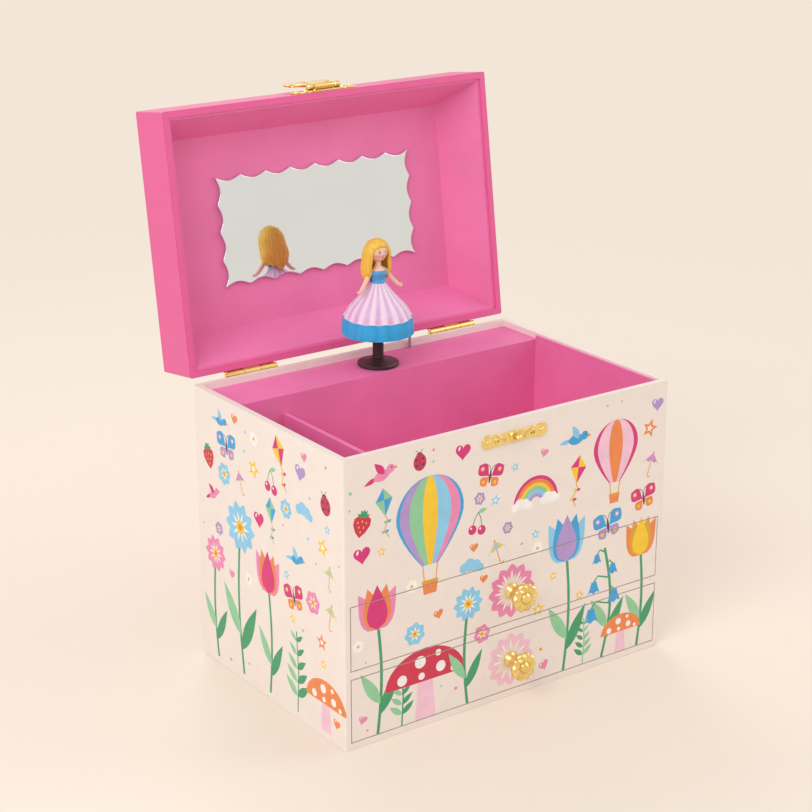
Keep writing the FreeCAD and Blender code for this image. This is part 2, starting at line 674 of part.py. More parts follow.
def clasp_flap():
    """Flared flap with a hole for the stud, turned back onto the lid front."""
    half = FLAP_NECK_WIDTH / 2
    foot = FLAP_FOOT_WIDTH / 2
    y0 = clasp_y - FLAP_THICKNESS / 2
    neck_z = clasp_z - FLAP_NECK
    shoulder = (foot - FLAP_SHOULDER_INSET, strike_z + FLAP_SHOULDER_RISE)
    bottom = strike_z - FLAP_BELOW_STUD
    heel = (foot - FLAP_HEEL_INSET, bottom + FLAP_HEEL_RISE)
    flare = (half + FLAP_FLARE, (neck_z + shoulder[1]) / 2)
    side = (foot, (shoulder[1] + heel[1]) / 2)

    def at(x, z):
        return V(x, y0, z)

    edges = [Part.LineSegment(at(half, clasp_z), at(-half, clasp_z))]
    for s in (-1, 1):
        neck, curve, out, edge, low = [at(s * x, z) for x, z in ((half, neck_z), flare, shoulder, side, heel)]
        edges.append(Part.LineSegment(at(s * half, clasp_z), neck))
        edges += [Part.Arc(neck, curve, out), Part.Arc(out, edge, low)]
    edges.append(Part.Arc(at(-heel[0], heel[1]), at(0, bottom), at(*heel)))
    sheet = wire_face(edges).extrude(V(0, FLAP_THICKNESS, 0))
    shape = fused([sheet, rod_x(CLASP_KNUCKLE_RADIUS, -half, half, clasp_y, clasp_z)])
    axle = rod_x(CLASP_AXLE_RADIUS + FIT, -half - OVERCUT, half + OVERCUT, clasp_y, clasp_z)
    hole = rod_y(STUD_RADIUS + STUD_HOLE_PLAY, y0 - OVERCUT, y0 + FLAP_THICKNESS + OVERCUT, 0, strike_z)
    shape = shape.cut([axle, hole])
    shape.rotate(V(0, clasp_y, clasp_z), V(1, 0, 0), -FLAP_BACK_ANGLE)
    return shape


def nails():
    strike_face = -half_depth - STRIKE_PLATE
    plate_face = -half_depth - CLASP_PLATE
    leaf_face = half_depth + HINGE_LEAF
    case = [nail(x, strike_z, strike_face, -1) for x in clasp_nail_xs]
    case += [nail(x, case_leaf_nail_z, leaf_face, 1) for x in hinge_nail_xs]
    lid = [nail(x, clasp_z, plate_face, -1) for x in clasp_nail_xs]
    lid += [nail(x, lid_leaf_nail_z, leaf_face, 1) for x in hinge_nail_xs]
    return {"case_nails": group(case), "lid_nails": opened(group(lid))}


def doll_stand():
    """Turntable on the spindle, the bending stem above it and the peg that carries the doll."""
    table_z = ledge_top + TURNTABLE_GAP
    table_top = table_z + TURNTABLE
    rim_z = table_z + TURNTABLE_RIM
    edges = [
        Part.LineSegment(V(0, 0, table_z), V(TURNTABLE_RADIUS, 0, table_z)),
        Part.LineSegment(V(TURNTABLE_RADIUS, 0, table_z), V(TURNTABLE_RADIUS, 0, rim_z)),
        Part.Arc(V(TURNTABLE_RADIUS, 0, rim_z), V(TURNTABLE_CREST_RADIUS, 0, table_z + TURNTABLE_CREST),
                 V(HUB_RADIUS, 0, table_top)),
        Part.LineSegment(V(HUB_RADIUS, 0, table_top), V(HUB_RADIUS, 0, pivot_z)),
        Part.LineSegment(V(HUB_RADIUS, 0, pivot_z), V(0, 0, pivot_z)),
        Part.LineSegment(V(0, 0, pivot_z), V(0, 0, table_z)),
    ]
    table = turned(wire_face(edges), 0, spindle_y)
    table = table.cut(rod_z(SPINDLE_RADIUS + FIT, table_z - OVERCUT, table_top))
    peg = fused([rod_z(STEM_RADIUS, hem_z, peg_shoulder_z),
                 rod_z(PEG_RADIUS, peg_shoulder_z, peg_shoulder_z + PEG_LENGTH)])
    return {
        "turntable": table,
        "flexible_stem": rod_z(STEM_RADIUS, pivot_z, hem_z),
        "doll_peg": peg,
    }


def gown():
    """Bell-shaped skirt, hollow below, with a boss that turns on the peg."""
    outside = [(HEM_RADIUS, hem_z), (BAND_RADIUS, hem_z + HEM_BAND),
               (GOWN_MIDDLE_RADIUS, hem_z + GOWN_MIDDLE_RISE),
               (GOWN_TOP_RADIUS, waist_z - GOWN_TOP_DROP), (WAIST_RADIUS, waist_z)]
    edges = [
        spline(outside),
        Part.LineSegment(V(WAIST_RADIUS, 0, waist_z), V(0, 0, waist_z)),
        Part.LineSegment(V(0, 0, waist_z), V(0, 0, hem_z)),
        Part.LineSegment(V(0, 0, hem_z), V(HEM_RADIUS, 0, hem_z)),
    ]
    skirt = turned(wire_face(edges), 0, spindle_y)
    boss_radius = STEM_RADIUS + GOWN_SHELL
    hollow_top = peg_shoulder_z + PEG_LENGTH / 2
    hollow = Part.makeCone(HEM_RADIUS - GOWN_SHELL, boss_radius + GOWN_SHELL, hollow_top - hem_z,
                           V(0, spindle_y, hem_z))
    boss = rod_z(boss_radius, peg_shoulder_z + BEARING_PLAY, hollow_top + OVERCUT)
    bore = rod_z(PEG_RADIUS + BEARING_PLAY, hem_z, peg_shoulder_z + PEG_LENGTH + BEARING_PLAY)
    return skirt.cut(hollow).fuse(boss).cut(bore).removeSplitter()


def ellipsoid(y, z, rx, ry, rz):
    """Ball stretched three ways, y behind the doll's axis."""
    matrix = FreeCAD.Matrix()
    matrix.scale(rx, ry, rz)
    matrix.move(V(0, spindle_y + y, z))
    return Part.makeSphere(1.0).transformGeometry(matrix)


def swollen(shape, z, radius):
    """Copy grown about a point on the doll's axis, so that a piece cut with it keeps a small gap."""
    matrix = FreeCAD.Matrix()
    grow = 1 + DOLL_JOINT_GAP / radius
    matrix.move(V(0, -spindle_y, -z))
    matrix.scale(grow, grow, grow)
    matrix.move(V(0, spindle_y, z))
    return shape.transformGeometry(matrix)


def doll():
    """Gown, bodice, head, hair and two arms, meeting face to face."""
    bust_z = (waist_z + shoulder_z) / 2
    profile = [
        Part.LineSegment(V(0, 0, waist_z), V(WAIST_RADIUS, 0, waist_z)),
        spline([(WAIST_RADIUS, waist_z), (BUST_RADIUS, bust_z), (NECK_RADIUS, shoulder_z)]),
        Part.LineSegment(V(NECK_RADIUS, 0, shoulder_z), V(0, 0, shoulder_z)),
        Part.LineSegment(V(0, 0, shoulder_z), V(0, 0, waist_z)),
    ]
    bodice = turned(wire_face(profile), 0, spindle_y)
    head = fused([rod_z(NECK_RADIUS, shoulder_z, head_z),
                  ellipsoid(0, head_z, HEAD_RADIUS, HEAD_RADIUS, HEAD_HALF_HEIGHT)])
    skirt = gown()
    crown = ellipsoid(HAIR_OFFSET, head_z + HAIR_OFFSET, HAIR_RADIUS, HAIR_RADIUS, HAIR_RADIUS)
    fall = ellipsoid(HAIR_FALL_SETBACK, head_z - HAIR_FALL_DROP, HAIR_FALL_HALF_WIDTH, HAIR_FALL_HALF_DEPTH,
                     HAIR_FALL / 2)
    face_room = block(-FACE_HALF_WIDTH, FACE_HALF_WIDTH,
                      spindle_y - 2 * HAIR_RADIUS, spindle_y - FACE_SETBACK,
                      head_z - 2 * HEAD_RADIUS, head_z + FACE_RISE)
    bodice_room = swollen(bodice, bust_z, BUST_RADIUS)
    arms = [doll_arm(s, 0).cut(bodice_room) for s in (-1, 1)]
    arm_rooms = [doll_arm(s, DOLL_JOINT_GAP) for s in (-1, 1)]
    hair = crown.fuse(fall).cut([face_room, swollen(head, head_z, HEAD_RADIUS), bodice_room,
                                 swollen(skirt, waist_z, WAIST_RADIUS)] + arm_rooms)
    return {
        "doll_gown": skirt,
        "doll_bodice": bodice,
        "doll_head": head,
        "doll_arms": group([max(a.Solids, key=lambda s: s.Volume) for a in arms]),
        "doll_hair": max(hair.Solids, key=lambda s: s.Volume),
    }


def doll_arm(side, extra):
    """Tapered arm held out and down, with a rounded hand; extra thickens it all round."""
    shoulder = V(side * SHOULDER_HALF_WIDTH, spindle_y, shoulder_z - ARM_DROP)
    hand = V(side * (ARM_REACH - HAND_RADIUS), spindle_y - HAND_FORWARD, ledge_top + HAND_RISE)
    run = hand - shoulder
    limb = Part.makeCone(ARM_RADIUS + extra, WRIST_RADIUS + extra, run.Length, shoulder, run)
    return fused([limb, Part.makeSphere(HAND_RADIUS + extra, hand)])


def toothed_wheel(teeth, x, y, z, phase):
    """Straight-flanked spur wheel; phase is the direction, in radians, of one tooth."""
    pitch_radius = teeth * WHEEL_MODULE / 2
    return spur_teeth(teeth, WHEEL_MODULE, pitch_radius, WHEEL_ADDENDUM, WHEEL_DEDENDUM, WHEEL_PLAY,
                      V(x, y, z), WHEEL_THICKNESS, phase)


def spur_teeth(teeth, module, pitch_radius, addendum, dedendum, play, place, thickness, phase):
    """Toothed disc about the vertical through a place, thinned at the teeth by the play."""
    slope = math.tan(math.radians(PRESSURE_ANGLE))
    tip = pitch_radius + addendum
    root = pitch_radius - dedendum
    half = (math.pi * module / 2 - play) / 2
    half_tip = half - slope * addendum
    half_root = min(half + slope * dedendum, TOOTH_ROOT_SHARE * 2 * math.pi * root / teeth)
    points = []
    for k in range(teeth):
        middle = phase + 2 * math.pi * k / teeth
        for radius, offset in ((root, -half_root), (tip, -half_tip), (tip, half_tip), (root, half_root)):
            angle = middle + offset / radius
            points.append(place + V(math.cos(angle), math.sin(angle), 0) * radius)
    return polygon(points).extrude(V(0, 0, thickness))


def drum_and_spindle():
    """Pinned drum with its wheel, on a spindle whose pinion meets the barrel's crown teeth."""
    spindle_top = ledge_top + TURNTABLE_GAP + TURNTABLE - FIT
    pinion = spur_teeth(PINION_TEETH, CROWN_MODULE, pinion_radius, CROWN_ADDENDUM, CROWN_DEDENDUM, CROWN_PLAY,
                        V(0, spindle_y, pinion_z0), CROWN_FACE, math.pi / 2 + math.pi / PINION_TEETH)
    spindle = fused([rod_z(SPINDLE_RADIUS, bearing_z, spindle_top), pinion])
    pieces = [rod_z(DRUM_RADIUS, drum_z, drum_z + DRUM_LENGTH)]
    for i in range(DRUM_PIN_COUNT):
        track = (i * DRUM_TRACK_STEP) % COMB_TEETH
        z = comb_z0 + (track + 0.5) * COMB_PITCH
        turn = 2 * math.pi * ((i * DRUM_TURN_STEP) % 1.0)
        out = V(math.cos(turn), math.sin(turn), 0)
        foot = V(0, spindle_y, z) + out * (DRUM_RADIUS - DRUM_PIN)
        pieces.append(rod(DRUM_PIN_RADIUS, foot, foot + out * 2 * DRUM_PIN))
    toward = math.atan2(governor_y - spindle_y, governor_x)
    pieces.append(toothed_wheel(WHEEL_TEETH, 0, spindle_y, wheel_z, toward))
    drum = fused(pieces).cut(rod_z(SPINDLE_RADIUS + FIT, wheel_z - OVERCUT, drum_z + DRUM_LENGTH + OVERCUT))
    return {"drum_spindle": spindle, "music_drum": drum}


def governor():
    """Air brake: small pinion, upright arbor, brake disc and two-bladed fan."""
    toward = math.atan2(spindle_y - governor_y, -governor_x)
    pinion = toothed_wheel(GOVERNOR_TEETH, governor_x, governor_y, wheel_z, toward + math.pi / GOVERNOR_TEETH)
    arbor_top = wheel_z + WHEEL_THICKNESS + GOVERNOR_HEAD
    arbor = rod_z(GOVERNOR_ARBOR_RADIUS, bracket_z, arbor_top, governor_x, governor_y)
    disc = rod_z(FAN_DISC_RADIUS, fan_disc_z, fan_disc_z + FAN_DISC, governor_x, governor_y)
    blades = block(governor_x - FAN_RADIUS, governor_x + FAN_RADIUS, governor_y - FAN_BLADE / 2,
                   governor_y + FAN_BLADE / 2, fan_z, fan_z + FAN_HEIGHT)
    return {"governor": fused([pinion, arbor, disc, blades])}


def bearing_bracket():
    """Folded sheet on the bedplate that holds the spindle's foot and the governor's arbor."""
    front = governor_y - BRACKET_LIP
    right = governor_x + BRACKET_END
    upper_back = crown_plane - CROWN_ADDENDUM - BRACKET_CROWN_ROOM
    side = block(-BRACKET_SIDE, -BRACKET_SIDE + BRACKET_SHEET, front, bedplate_face, bracket_z, bearing_top)
    upper = block(-BRACKET_SIDE, right, front, upper_back, bearing_z, bearing_top)
    lower = block(-BRACKET_SIDE, right, front, governor_y + BRACKET_LIP, bracket_z, bracket_z + BRACKET_SHEET)
    arbor_hole = rod_z(GOVERNOR_ARBOR_RADIUS + BEARING_PLAY, bracket_z - OVERCUT, bearing_top + OVERCUT,
                       governor_x, governor_y)
    spindle_hole = rod_z(SPINDLE_RADIUS + BEARING_PLAY, bearing_z - OVERCUT, bearing_top + OVERCUT)
    return {"bearing_bracket": fused([side, upper, lower]).cut([arbor_hole, spindle_hole])}


def bedplate_and_comb():
    """Movement's plate on the back wall with the comb's block, the steel comb and all their screws."""
    plate = block(-BEDPLATE_LEFT, BEDPLATE_RIGHT, bedplate_face, inner_y, bedplate_z, bedplate_top)
    comb_back = comb_face + COMB_PLATE
    inset = COMB_REST_INSET
    rest = block(comb_x0 + inset, comb_x1 - inset, comb_back, bedplate_face + FIT,
                 comb_z0 + inset, comb_z1 - inset)
    comb_screw_end = comb_back + COMB_SCREW_DEPTH
    hole = SCREW_SHANK_RADIUS + FIT
    holes = [rod_y(ARBOR_RADIUS + BEARING_PLAY, bedplate_face - OVERCUT, inner_y + OVERCUT, 0, barrel_z)]
    holes += [rod_y(hole, bedplate_face - OVERCUT, inner_y + OVERCUT, x, z) for x, z in bedplate_screws]
    holes += [rod_y(hole, comb_back - OVERCUT, comb_screw_end, x, z) for x, z in comb_screws]
    comb = [block(comb_x0, comb_x1, comb_face, comb_back, comb_z0, comb_z1)]
    tooth_y0 = spindle_y - COMB_TOOTH / 2
    for k in range(COMB_TEETH):
        z = comb_z0 + (k + 0.5) * COMB_PITCH - COMB_TOOTH_HEIGHT / 2
        comb.append(block(comb_x1, comb_x1 + COMB_TOOTH_LENGTH, tooth_y0, tooth_y0 + COMB_TOOTH,
                          z, z + COMB_TOOTH_HEIGHT))
    comb_holes = [rod_y(hole, comb_face - OVERCUT, comb_back + OVERCUT, x, z) for x, z in comb_screws]
    screws = [movement_screw(x, z, bedplate_face, screw_end - FIT) for x, z in bedplate_screws]
    screws += [movement_screw(x, z, comb_face, comb_screw_end - FIT) for x, z in comb_screws]
    return {
        "bedplate": fused([plate, rest]).cut(holes),
        "comb": fused(comb).cut(comb_holes),
        "movement_screws": group(screws),
    }


def movement_screw(x, z, face, end):
    head = rod_y(SCREW_HEAD_RADIUS, face - SCREW_HEAD, face, x, z)
    return fused([head, rod_y(SCREW_SHANK_RADIUS, face, end, x, z)])


def spring_barrel():
    """Barrel with crown teeth on its face, the coiled mainspring, the winding arbor and the key."""
    cup = rod_y(BARREL_RADIUS, barrel_face, barrel_back, 0, barrel_z)
    cavity = rod_y(BARREL_RADIUS - BARREL_WALL, barrel_face + BARREL_WALL, barrel_back + OVERCUT, 0, barrel_z)
    bore = rod_y(ARBOR_RADIUS + BARREL_BORE_PLAY, barrel_face - OVERCUT, barrel_back, 0, barrel_z)
    cup = cup.cut([cavity, bore])
    slope = math.tan(math.radians(PRESSURE_ANGLE))
    half = (math.pi * CROWN_MODULE / 2 - CROWN_PLAY) / 2
    tip_y = crown_plane - CROWN_ADDENDUM
    root_y = barrel_face + FIT
    half_tip = half - slope * CROWN_ADDENDUM
    half_root = half + slope * CROWN_DEDENDUM
    teeth = []
    for k in range(CROWN_TEETH):
        tooth = polygon([V(-half_root, root_y, pinion_z0), V(-half_tip, tip_y, pinion_z0),
                         V(half_tip, tip_y, pinion_z0), V(half_root, root_y, pinion_z0)])
        tooth = tooth.extrude(V(0, 0, CROWN_FACE))
        tooth.rotate(V(0, 0, barrel_z), V(0, 1, 0), 360.0 * k / CROWN_TEETH)
        teeth.append(tooth)
    hub_y0 = half_depth + ESCUTCHEON + KEY_STANDOFF
    hub_y1 = hub_y0 + KEY_HUB_LENGTH
    spring_y0 = barrel_face + BARREL_WALL + SPRING_ROOM
    spring_y1 = barrel_back - SPRING_ROOM
    arbor = fused([rod_y(ARBOR_RADIUS, barrel_face - ARBOR_NOSE, hub_y1 - KEY_CAP, 0, barrel_z),
                   rod_y(ARBOR_COLLAR_RADIUS, spring_y0, spring_y1, 0, barrel_z)])
    escutcheon_back = half_depth + ESCUTCHEON
    escutcheon = rod_y(ESCUTCHEON_RADIUS, half_depth, escutcheon_back, 0, barrel_z)
    keyhole = rod_y(KEYHOLE_RADIUS, half_depth - OVERCUT, escutcheon_back + OVERCUT, 0, barrel_z)
    return {
        "spring_barrel": fused([cup] + teeth),
        "mainspring": mainspring(spring_y0, spring_y1),
        "winding_arbor": arbor,
        "winding_key": winding_key(hub_y0, hub_y1),
        "key_escutcheon": escutcheon.cut(keyhole),
    }


def mainspring(y0, y1):
    """Strip coiled in half circles from the arbor out to the barrel's wall."""
    outer_radius = BARREL_RADIUS - BARREL_WALL - SPRING_STRIP / 2 - SPRING_ROOM
    pitch = (outer_radius - SPRING_INNER_RADIUS) / (SPRING_TURNS - 0.5)

    def half_circle(k, offset):
        centre = pitch / 2 * (k % 2)
        radius = SPRING_INNER_RADIUS + pitch / 2 * k + offset
        up = 1 if k % 2 == 0 else -1
        return [V(centre + up * radius, y0, barrel_z), V(centre, y0, barrel_z + up * radius),
                V(centre - up * radius, y0, barrel_z)]

    halves = range(2 * SPRING_TURNS - 1)
    edges = [Part.Arc(*half_circle(k, s * SPRING_STRIP / 2)) for s in (-1, 1) for k in halves]
    for k, end in ((0, 0), (halves[-1], 2)):
        inner, outer = [half_circle(k, s * SPRING_STRIP / 2)[end] for s in (-1, 1)]
        edges.append(Part.LineSegment(inner, outer))
    return wire_face(edges).extrude(V(0, y1 - y0, 0))


def winding_key(y0, y1):
    """Butterfly key: hub on the arbor and two round wings with an eye in each."""
    z0 = barrel_z - KEY_SHEET / 2
    z1 = barrel_z + KEY_SHEET / 2
    wing_y = y1 + KEY_WING_RISE
    centres = [(s * KEY_WING_OUT, wing_y) for s in (-1, 1)]
    web = block(-KEY_WING_OUT, KEY_WING_OUT, y1 - KEY_WEB_LAP, wing_y + KEY_EYE_RADIUS, z0, z1)
    wings = [rod_z(KEY_WING_RADIUS, z0, z1, x, y) for x, y in centres]
    eyes = [rod_z(KEY_EYE_RADIUS, z0 - OVERCUT, z1 + OVERCUT, x, y) for x, y in centres]
    bore = rod_y(ARBOR_RADIUS + FIT, y0 - OVERCUT, y1 - KEY_CAP + FIT, 0, barrel_z)
    return fused([rod_y(KEY_HUB_RADIUS, y0, y1, 0, barrel_z), web] + wings).cut(eyes + [bore])


def stop_pin():
    """Wire that the closing lid pushes down onto the governor's brake disc."""
    crown = V(STOP_PIN_X, stop_pin_y, stop_pin_top - STOP_PIN_RADIUS)
    corner = V(STOP_PIN_X, stop_pin_y, stop_arm_z)
    tip = V(governor_x + STOP_TIP_SIDE, governor_y + STOP_TIP_BACK, stop_arm_z)
    rods = [rod(STOP_PIN_RADIUS, corner, crown), rod(STOP_PIN_RADIUS, corner, tip)]
    return {"stop_pin": fused(rods + [Part.makeSphere(STOP_PIN_RADIUS, end) for end in (crown, corner)])}


def spindle_bush():
    foot = ledge_top - BUSH_LENGTH
    bore = rod_z(SPINDLE_RADIUS + BEARING_PLAY, foot - OVERCUT, ledge_top + OVERCUT)
    return {"spindle_bush": rod_z(BUSH_RADIUS, foot, ledge_top).cut(bore)}


def all_pieces():
    pieces = {}
    pieces.update(case_boards())
    pieces.update(compartment_lining())
    pieces.update(drawer("upper_drawer", upper_drawer_z))
    pieces.update(drawer("lower_drawer", lower_drawer_z))
    pieces.update(lid_boards())
    pieces.update(mirror())
    pieces.update(hinges())
    pieces.update(clasp())
    pieces.update(nails())
    pieces.update(doll_stand())
    pieces.update(doll())
    pieces.update(drum_and_spindle())
    pieces.update(governor())
    pieces.update(bearing_bracket())
    pieces.update(bedplate_and_comb())
    pieces.update(spring_barrel())
    pieces.update(stop_pin())
    pieces.update(spindle_bush())
    return pieces


os.makedirs("parts", exist_ok=True)
for name, shape in all_pieces().items():
    shape.exportStep("parts/" + name + ".step")
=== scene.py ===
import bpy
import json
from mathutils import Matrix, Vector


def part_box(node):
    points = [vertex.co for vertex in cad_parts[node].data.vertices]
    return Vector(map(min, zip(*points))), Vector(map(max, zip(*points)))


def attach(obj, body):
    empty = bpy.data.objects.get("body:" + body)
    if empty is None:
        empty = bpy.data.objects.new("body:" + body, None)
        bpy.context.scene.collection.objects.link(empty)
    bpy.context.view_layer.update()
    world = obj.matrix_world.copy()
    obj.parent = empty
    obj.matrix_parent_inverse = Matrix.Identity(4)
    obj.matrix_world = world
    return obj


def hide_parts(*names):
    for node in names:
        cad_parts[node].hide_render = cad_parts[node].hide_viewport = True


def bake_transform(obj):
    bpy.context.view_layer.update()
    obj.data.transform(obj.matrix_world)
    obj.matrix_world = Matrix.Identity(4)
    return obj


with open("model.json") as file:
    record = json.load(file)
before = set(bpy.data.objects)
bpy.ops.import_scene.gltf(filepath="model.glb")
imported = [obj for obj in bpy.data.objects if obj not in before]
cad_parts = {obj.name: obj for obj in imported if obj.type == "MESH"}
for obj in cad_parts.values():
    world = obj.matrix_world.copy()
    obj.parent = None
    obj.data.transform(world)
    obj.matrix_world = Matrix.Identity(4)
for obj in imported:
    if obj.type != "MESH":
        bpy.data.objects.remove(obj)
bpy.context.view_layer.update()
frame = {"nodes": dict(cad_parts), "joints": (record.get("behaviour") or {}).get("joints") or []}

import json
import random
from math import copysign, cos, exp, hypot, pi, radians, sin, tau

import bmesh
import bpy
from bpy.props import FloatProperty, FloatVectorProperty, IntProperty, PointerProperty
from mathutils import Matrix, Vector
from mathutils.geometry import delaunay_2d_cdt

bl_info = {
    "name": "Musical Jewellery Box",
    "version": (1, 0, 0),
    "blender": (4, 5, 0),
    "location": "3D View > Sidebar > Jewellery Box",
    "description": "Printed papers, brass fittings, doll and stage for the packed jewellery box",
    "category": "Object",
}

MM = 0.001
JOINTS = {joint["name"]: joint for joint in frame["joints"]}


def corners(node):
    """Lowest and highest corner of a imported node, in millimetres."""
    return [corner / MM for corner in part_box(node)]


def levels(node):
    """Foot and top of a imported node, in millimetres."""
    return [corner.z for corner in corners(node)]


def middle_level(node):
    """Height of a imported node's middle, in millimetres."""
    return sum(levels(node)) / 2


def at(x=0, y=0, z=0):
    """Matrix that moves a form without turning it."""
    return Matrix.Translation((x, y, z))


def turned(degrees, axis):
    """Matrix that turns a form about an axis through its origin."""
    return Matrix.Rotation(radians(degrees), 4, axis)


# Case, in millimetres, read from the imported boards; places round it are measured from the front's middle
WALL_LOW, WALL_HIGH = corners("right_wall")
HALF_WIDTH, HALF_DEPTH, BODY_HEIGHT = WALL_HIGH
WALL_INSIDE = WALL_LOW.x
PANEL_FOOT = levels("front_panel")[0]
SHELF_FOOT, SHELF_TOP = levels("drawer_shelf")
BASE_TOP = levels("base_board")[1]
CORNER_RADIUS = 0.8
SIDE_END = HALF_WIDTH + 2 * HALF_DEPTH
BACK_MIDDLE = SIDE_END + HALF_WIDTH
DRAWERS = ("upper_drawer", "lower_drawer")

# Lid and clasp are shaped closed, then swung to where they rest
LID_FOOT = BODY_HEIGHT + 0.3
LID_TOP = BODY_HEIGHT + 22.5
LID_CEILING = LID_TOP - 2.8
HINGE = Vector(JOINTS["lid_hinge"]["pos_m"])
LID_OPEN = at(*HINGE) @ turned(JOINTS["lid_hinge"]["range_deg"][0], "X") @ at(*-HINGE)
AXLE = LID_OPEN.inverted() @ Vector(JOINTS["clasp_hinge"]["pos_m"])
FLAP_BACK = LID_OPEN @ at(*AXLE) @ turned(JOINTS["clasp_hinge"]["range_deg"][0], "X")

# Fittings, in millimetres
AXLE_LEVEL = AXLE.z / MM
STRIKE_LEVEL = middle_level("strike_plate")
STRIKE_THICKNESS = 0.6
CLASP_THICKNESS = 0.8
FLAP_THICKNESS = 0.9
CLASP_NAIL_X = 12.8
KEY_LEVEL = JOINTS["key_wind"]["pos_m"][2] / MM
KEYHOLE_RADIUS = 4.0

# Doll, in millimetres
DOLL_AXIS = JOINTS["doll_spin"]["pos_m"][1] / MM
HEM = levels("doll_gown")[0]
WAIST, SHOULDER = levels("doll_bodice")
HEAD = levels("doll_head")[1] - 4.35
HEAD_PLACE = at(0, DOLL_AXIS, HEAD)
FACE_FRONT = DOLL_AXIS - 4.0


def linear(code):
    """Linear colour from a six-digit colour code."""
    parts = [int(code[i:i + 2], 16) / 255 for i in (0, 2, 4)]
    return tuple(c / 12.92 if c <= 0.04045 else ((c + 0.055) / 1.055) ** 2.4 for c in parts)


def colour_prop(name, description, code):
    """Colour setting whose default is a colour code."""
    return FloatVectorProperty(name=name, description=description, subtype="COLOR", size=3, min=0, max=1,
                               default=linear(code))


class PaperSettings(bpy.types.PropertyGroup):
    """Papers and printing inks."""
    cream: colour_prop("Cream", "Paper of the case and the drawers", "F2E6DE")
    lid: colour_prop("Lid", "Paper of the lid", "E8619D")
    lining: colour_prop("Lining", "Paper inside the case and the lid", "EC7DB2")
    rose: colour_prop("Rose", "Strong pink ink", "DB2F7C")
    pink: colour_prop("Pink", "Middle pink ink", "F08DB9")
    blush: colour_prop("Blush", "Pale pink ink", "F8C9DC")
    lilac: colour_prop("Lilac", "Lilac ink", "B698D3")
    yellow: colour_prop("Yellow", "Yellow ink", "FFCE2B")
    gold: colour_prop("Gold", "Deep yellow ink", "E6A52E")
    sky: colour_prop("Sky", "Pale blue ink", "8FD0F0")
    blue: colour_prop("Blue", "Blue ink", "3DA6DF")
    green: colour_prop("Green", "Green ink", "3F9F6C")
    mint: colour_prop("Mint", "Pale green ink", "93D0A0")
    orange: colour_prop("Orange", "Orange ink", "F28A4B")
    red: colour_prop("Red", "Red ink", "D4304F")
    plum: colour_prop("Plum", "Darkest ink", "5A3A66")
    white: colour_prop("White", "White ink", "FBF7F4")
    lift: FloatProperty(name="Lift", description="Height of a paper above its board", default=0.00007,
                        min=0.00001, max=0.0005, unit="LENGTH")


class MetalSettings(bpy.types.PropertyGroup):
    """Brass fittings and the movement's metals."""
    brass: colour_prop("Brass", "Plated fittings", "F4D98C")
    # Tarnish tints random dull patches; a darker copy of it is painted shade in the brass's hollows.
    tarnish: colour_prop("Tarnish", "Brass in its hollows", "D6AC54")
    steel: colour_prop("Steel", "Plain steel", "BFC0C2")
    zinc: colour_prop("Zinc", "Plated movement sheet", "B9B6AC")
    mirror: colour_prop("Mirror", "Mirrored sheet", "E4EFF6")
    petals: IntProperty(name="Knob petals", description="Petals round a drawer knob", default=10,
                        min=5, max=16)


class DollSettings(bpy.types.PropertyGroup):
    """The doll and its stand."""
    gown: colour_prop("Gown", "Crests of the gown's pleats", "F3DDEE")
    panel: colour_prop("Panel", "Hollows of the gown's pleats", "D9AEDB")
    # Painted shade: the darker colour that fills the hollows of the gown's pleats.
    hem: colour_prop("Hem", "Band at the hem", "2FB2EA")
    bodice: colour_prop("Bodice", "Top of the gown", "4FA6DD")
    skin: colour_prop("Skin", "Head and arms", "F6C9AE")
    hair: colour_prop("Hair", "Long hair", "F5C94A")
    stand: colour_prop("Stand", "Turntable and stem", "3A2A28")
    pleats: IntProperty(name="Pleats", description="Pleats round the gown", default=16, min=8, max=32)
    locks: IntProperty(name="Locks", description="Locks of hair down the back", default=17, min=9, max=31)


class StageSettings(bpy.types.PropertyGroup):
    """Floor, lamps and camera."""
    floor: colour_prop("Floor", "Floor and background", "F3E6D8")
    azimuth: FloatProperty(name="Azimuth", description="Camera's turn round the box",
                           default=radians(-35.7), subtype="ANGLE")
    elevation: FloatProperty(name="Elevation", description="Camera's height angle", default=radians(19.2),
                             subtype="ANGLE")
    distance: FloatProperty(name="Distance", description="Camera from the box", default=0.80, min=0.3,
                            unit="LENGTH")
    lens: FloatProperty(name="Lens", description="Focal length in millimetres", default=89.0,
                        min=20, max=300)
    aim: FloatVectorProperty(name="Aim", description="Point that the camera looks at", size=3,
                             default=(-0.004, 0.012, 0.103), subtype="TRANSLATION", unit="LENGTH")
    lamp: FloatProperty(name="Lamp", description="Strength that the lamps share, in watts", default=6.0,
                        min=0)


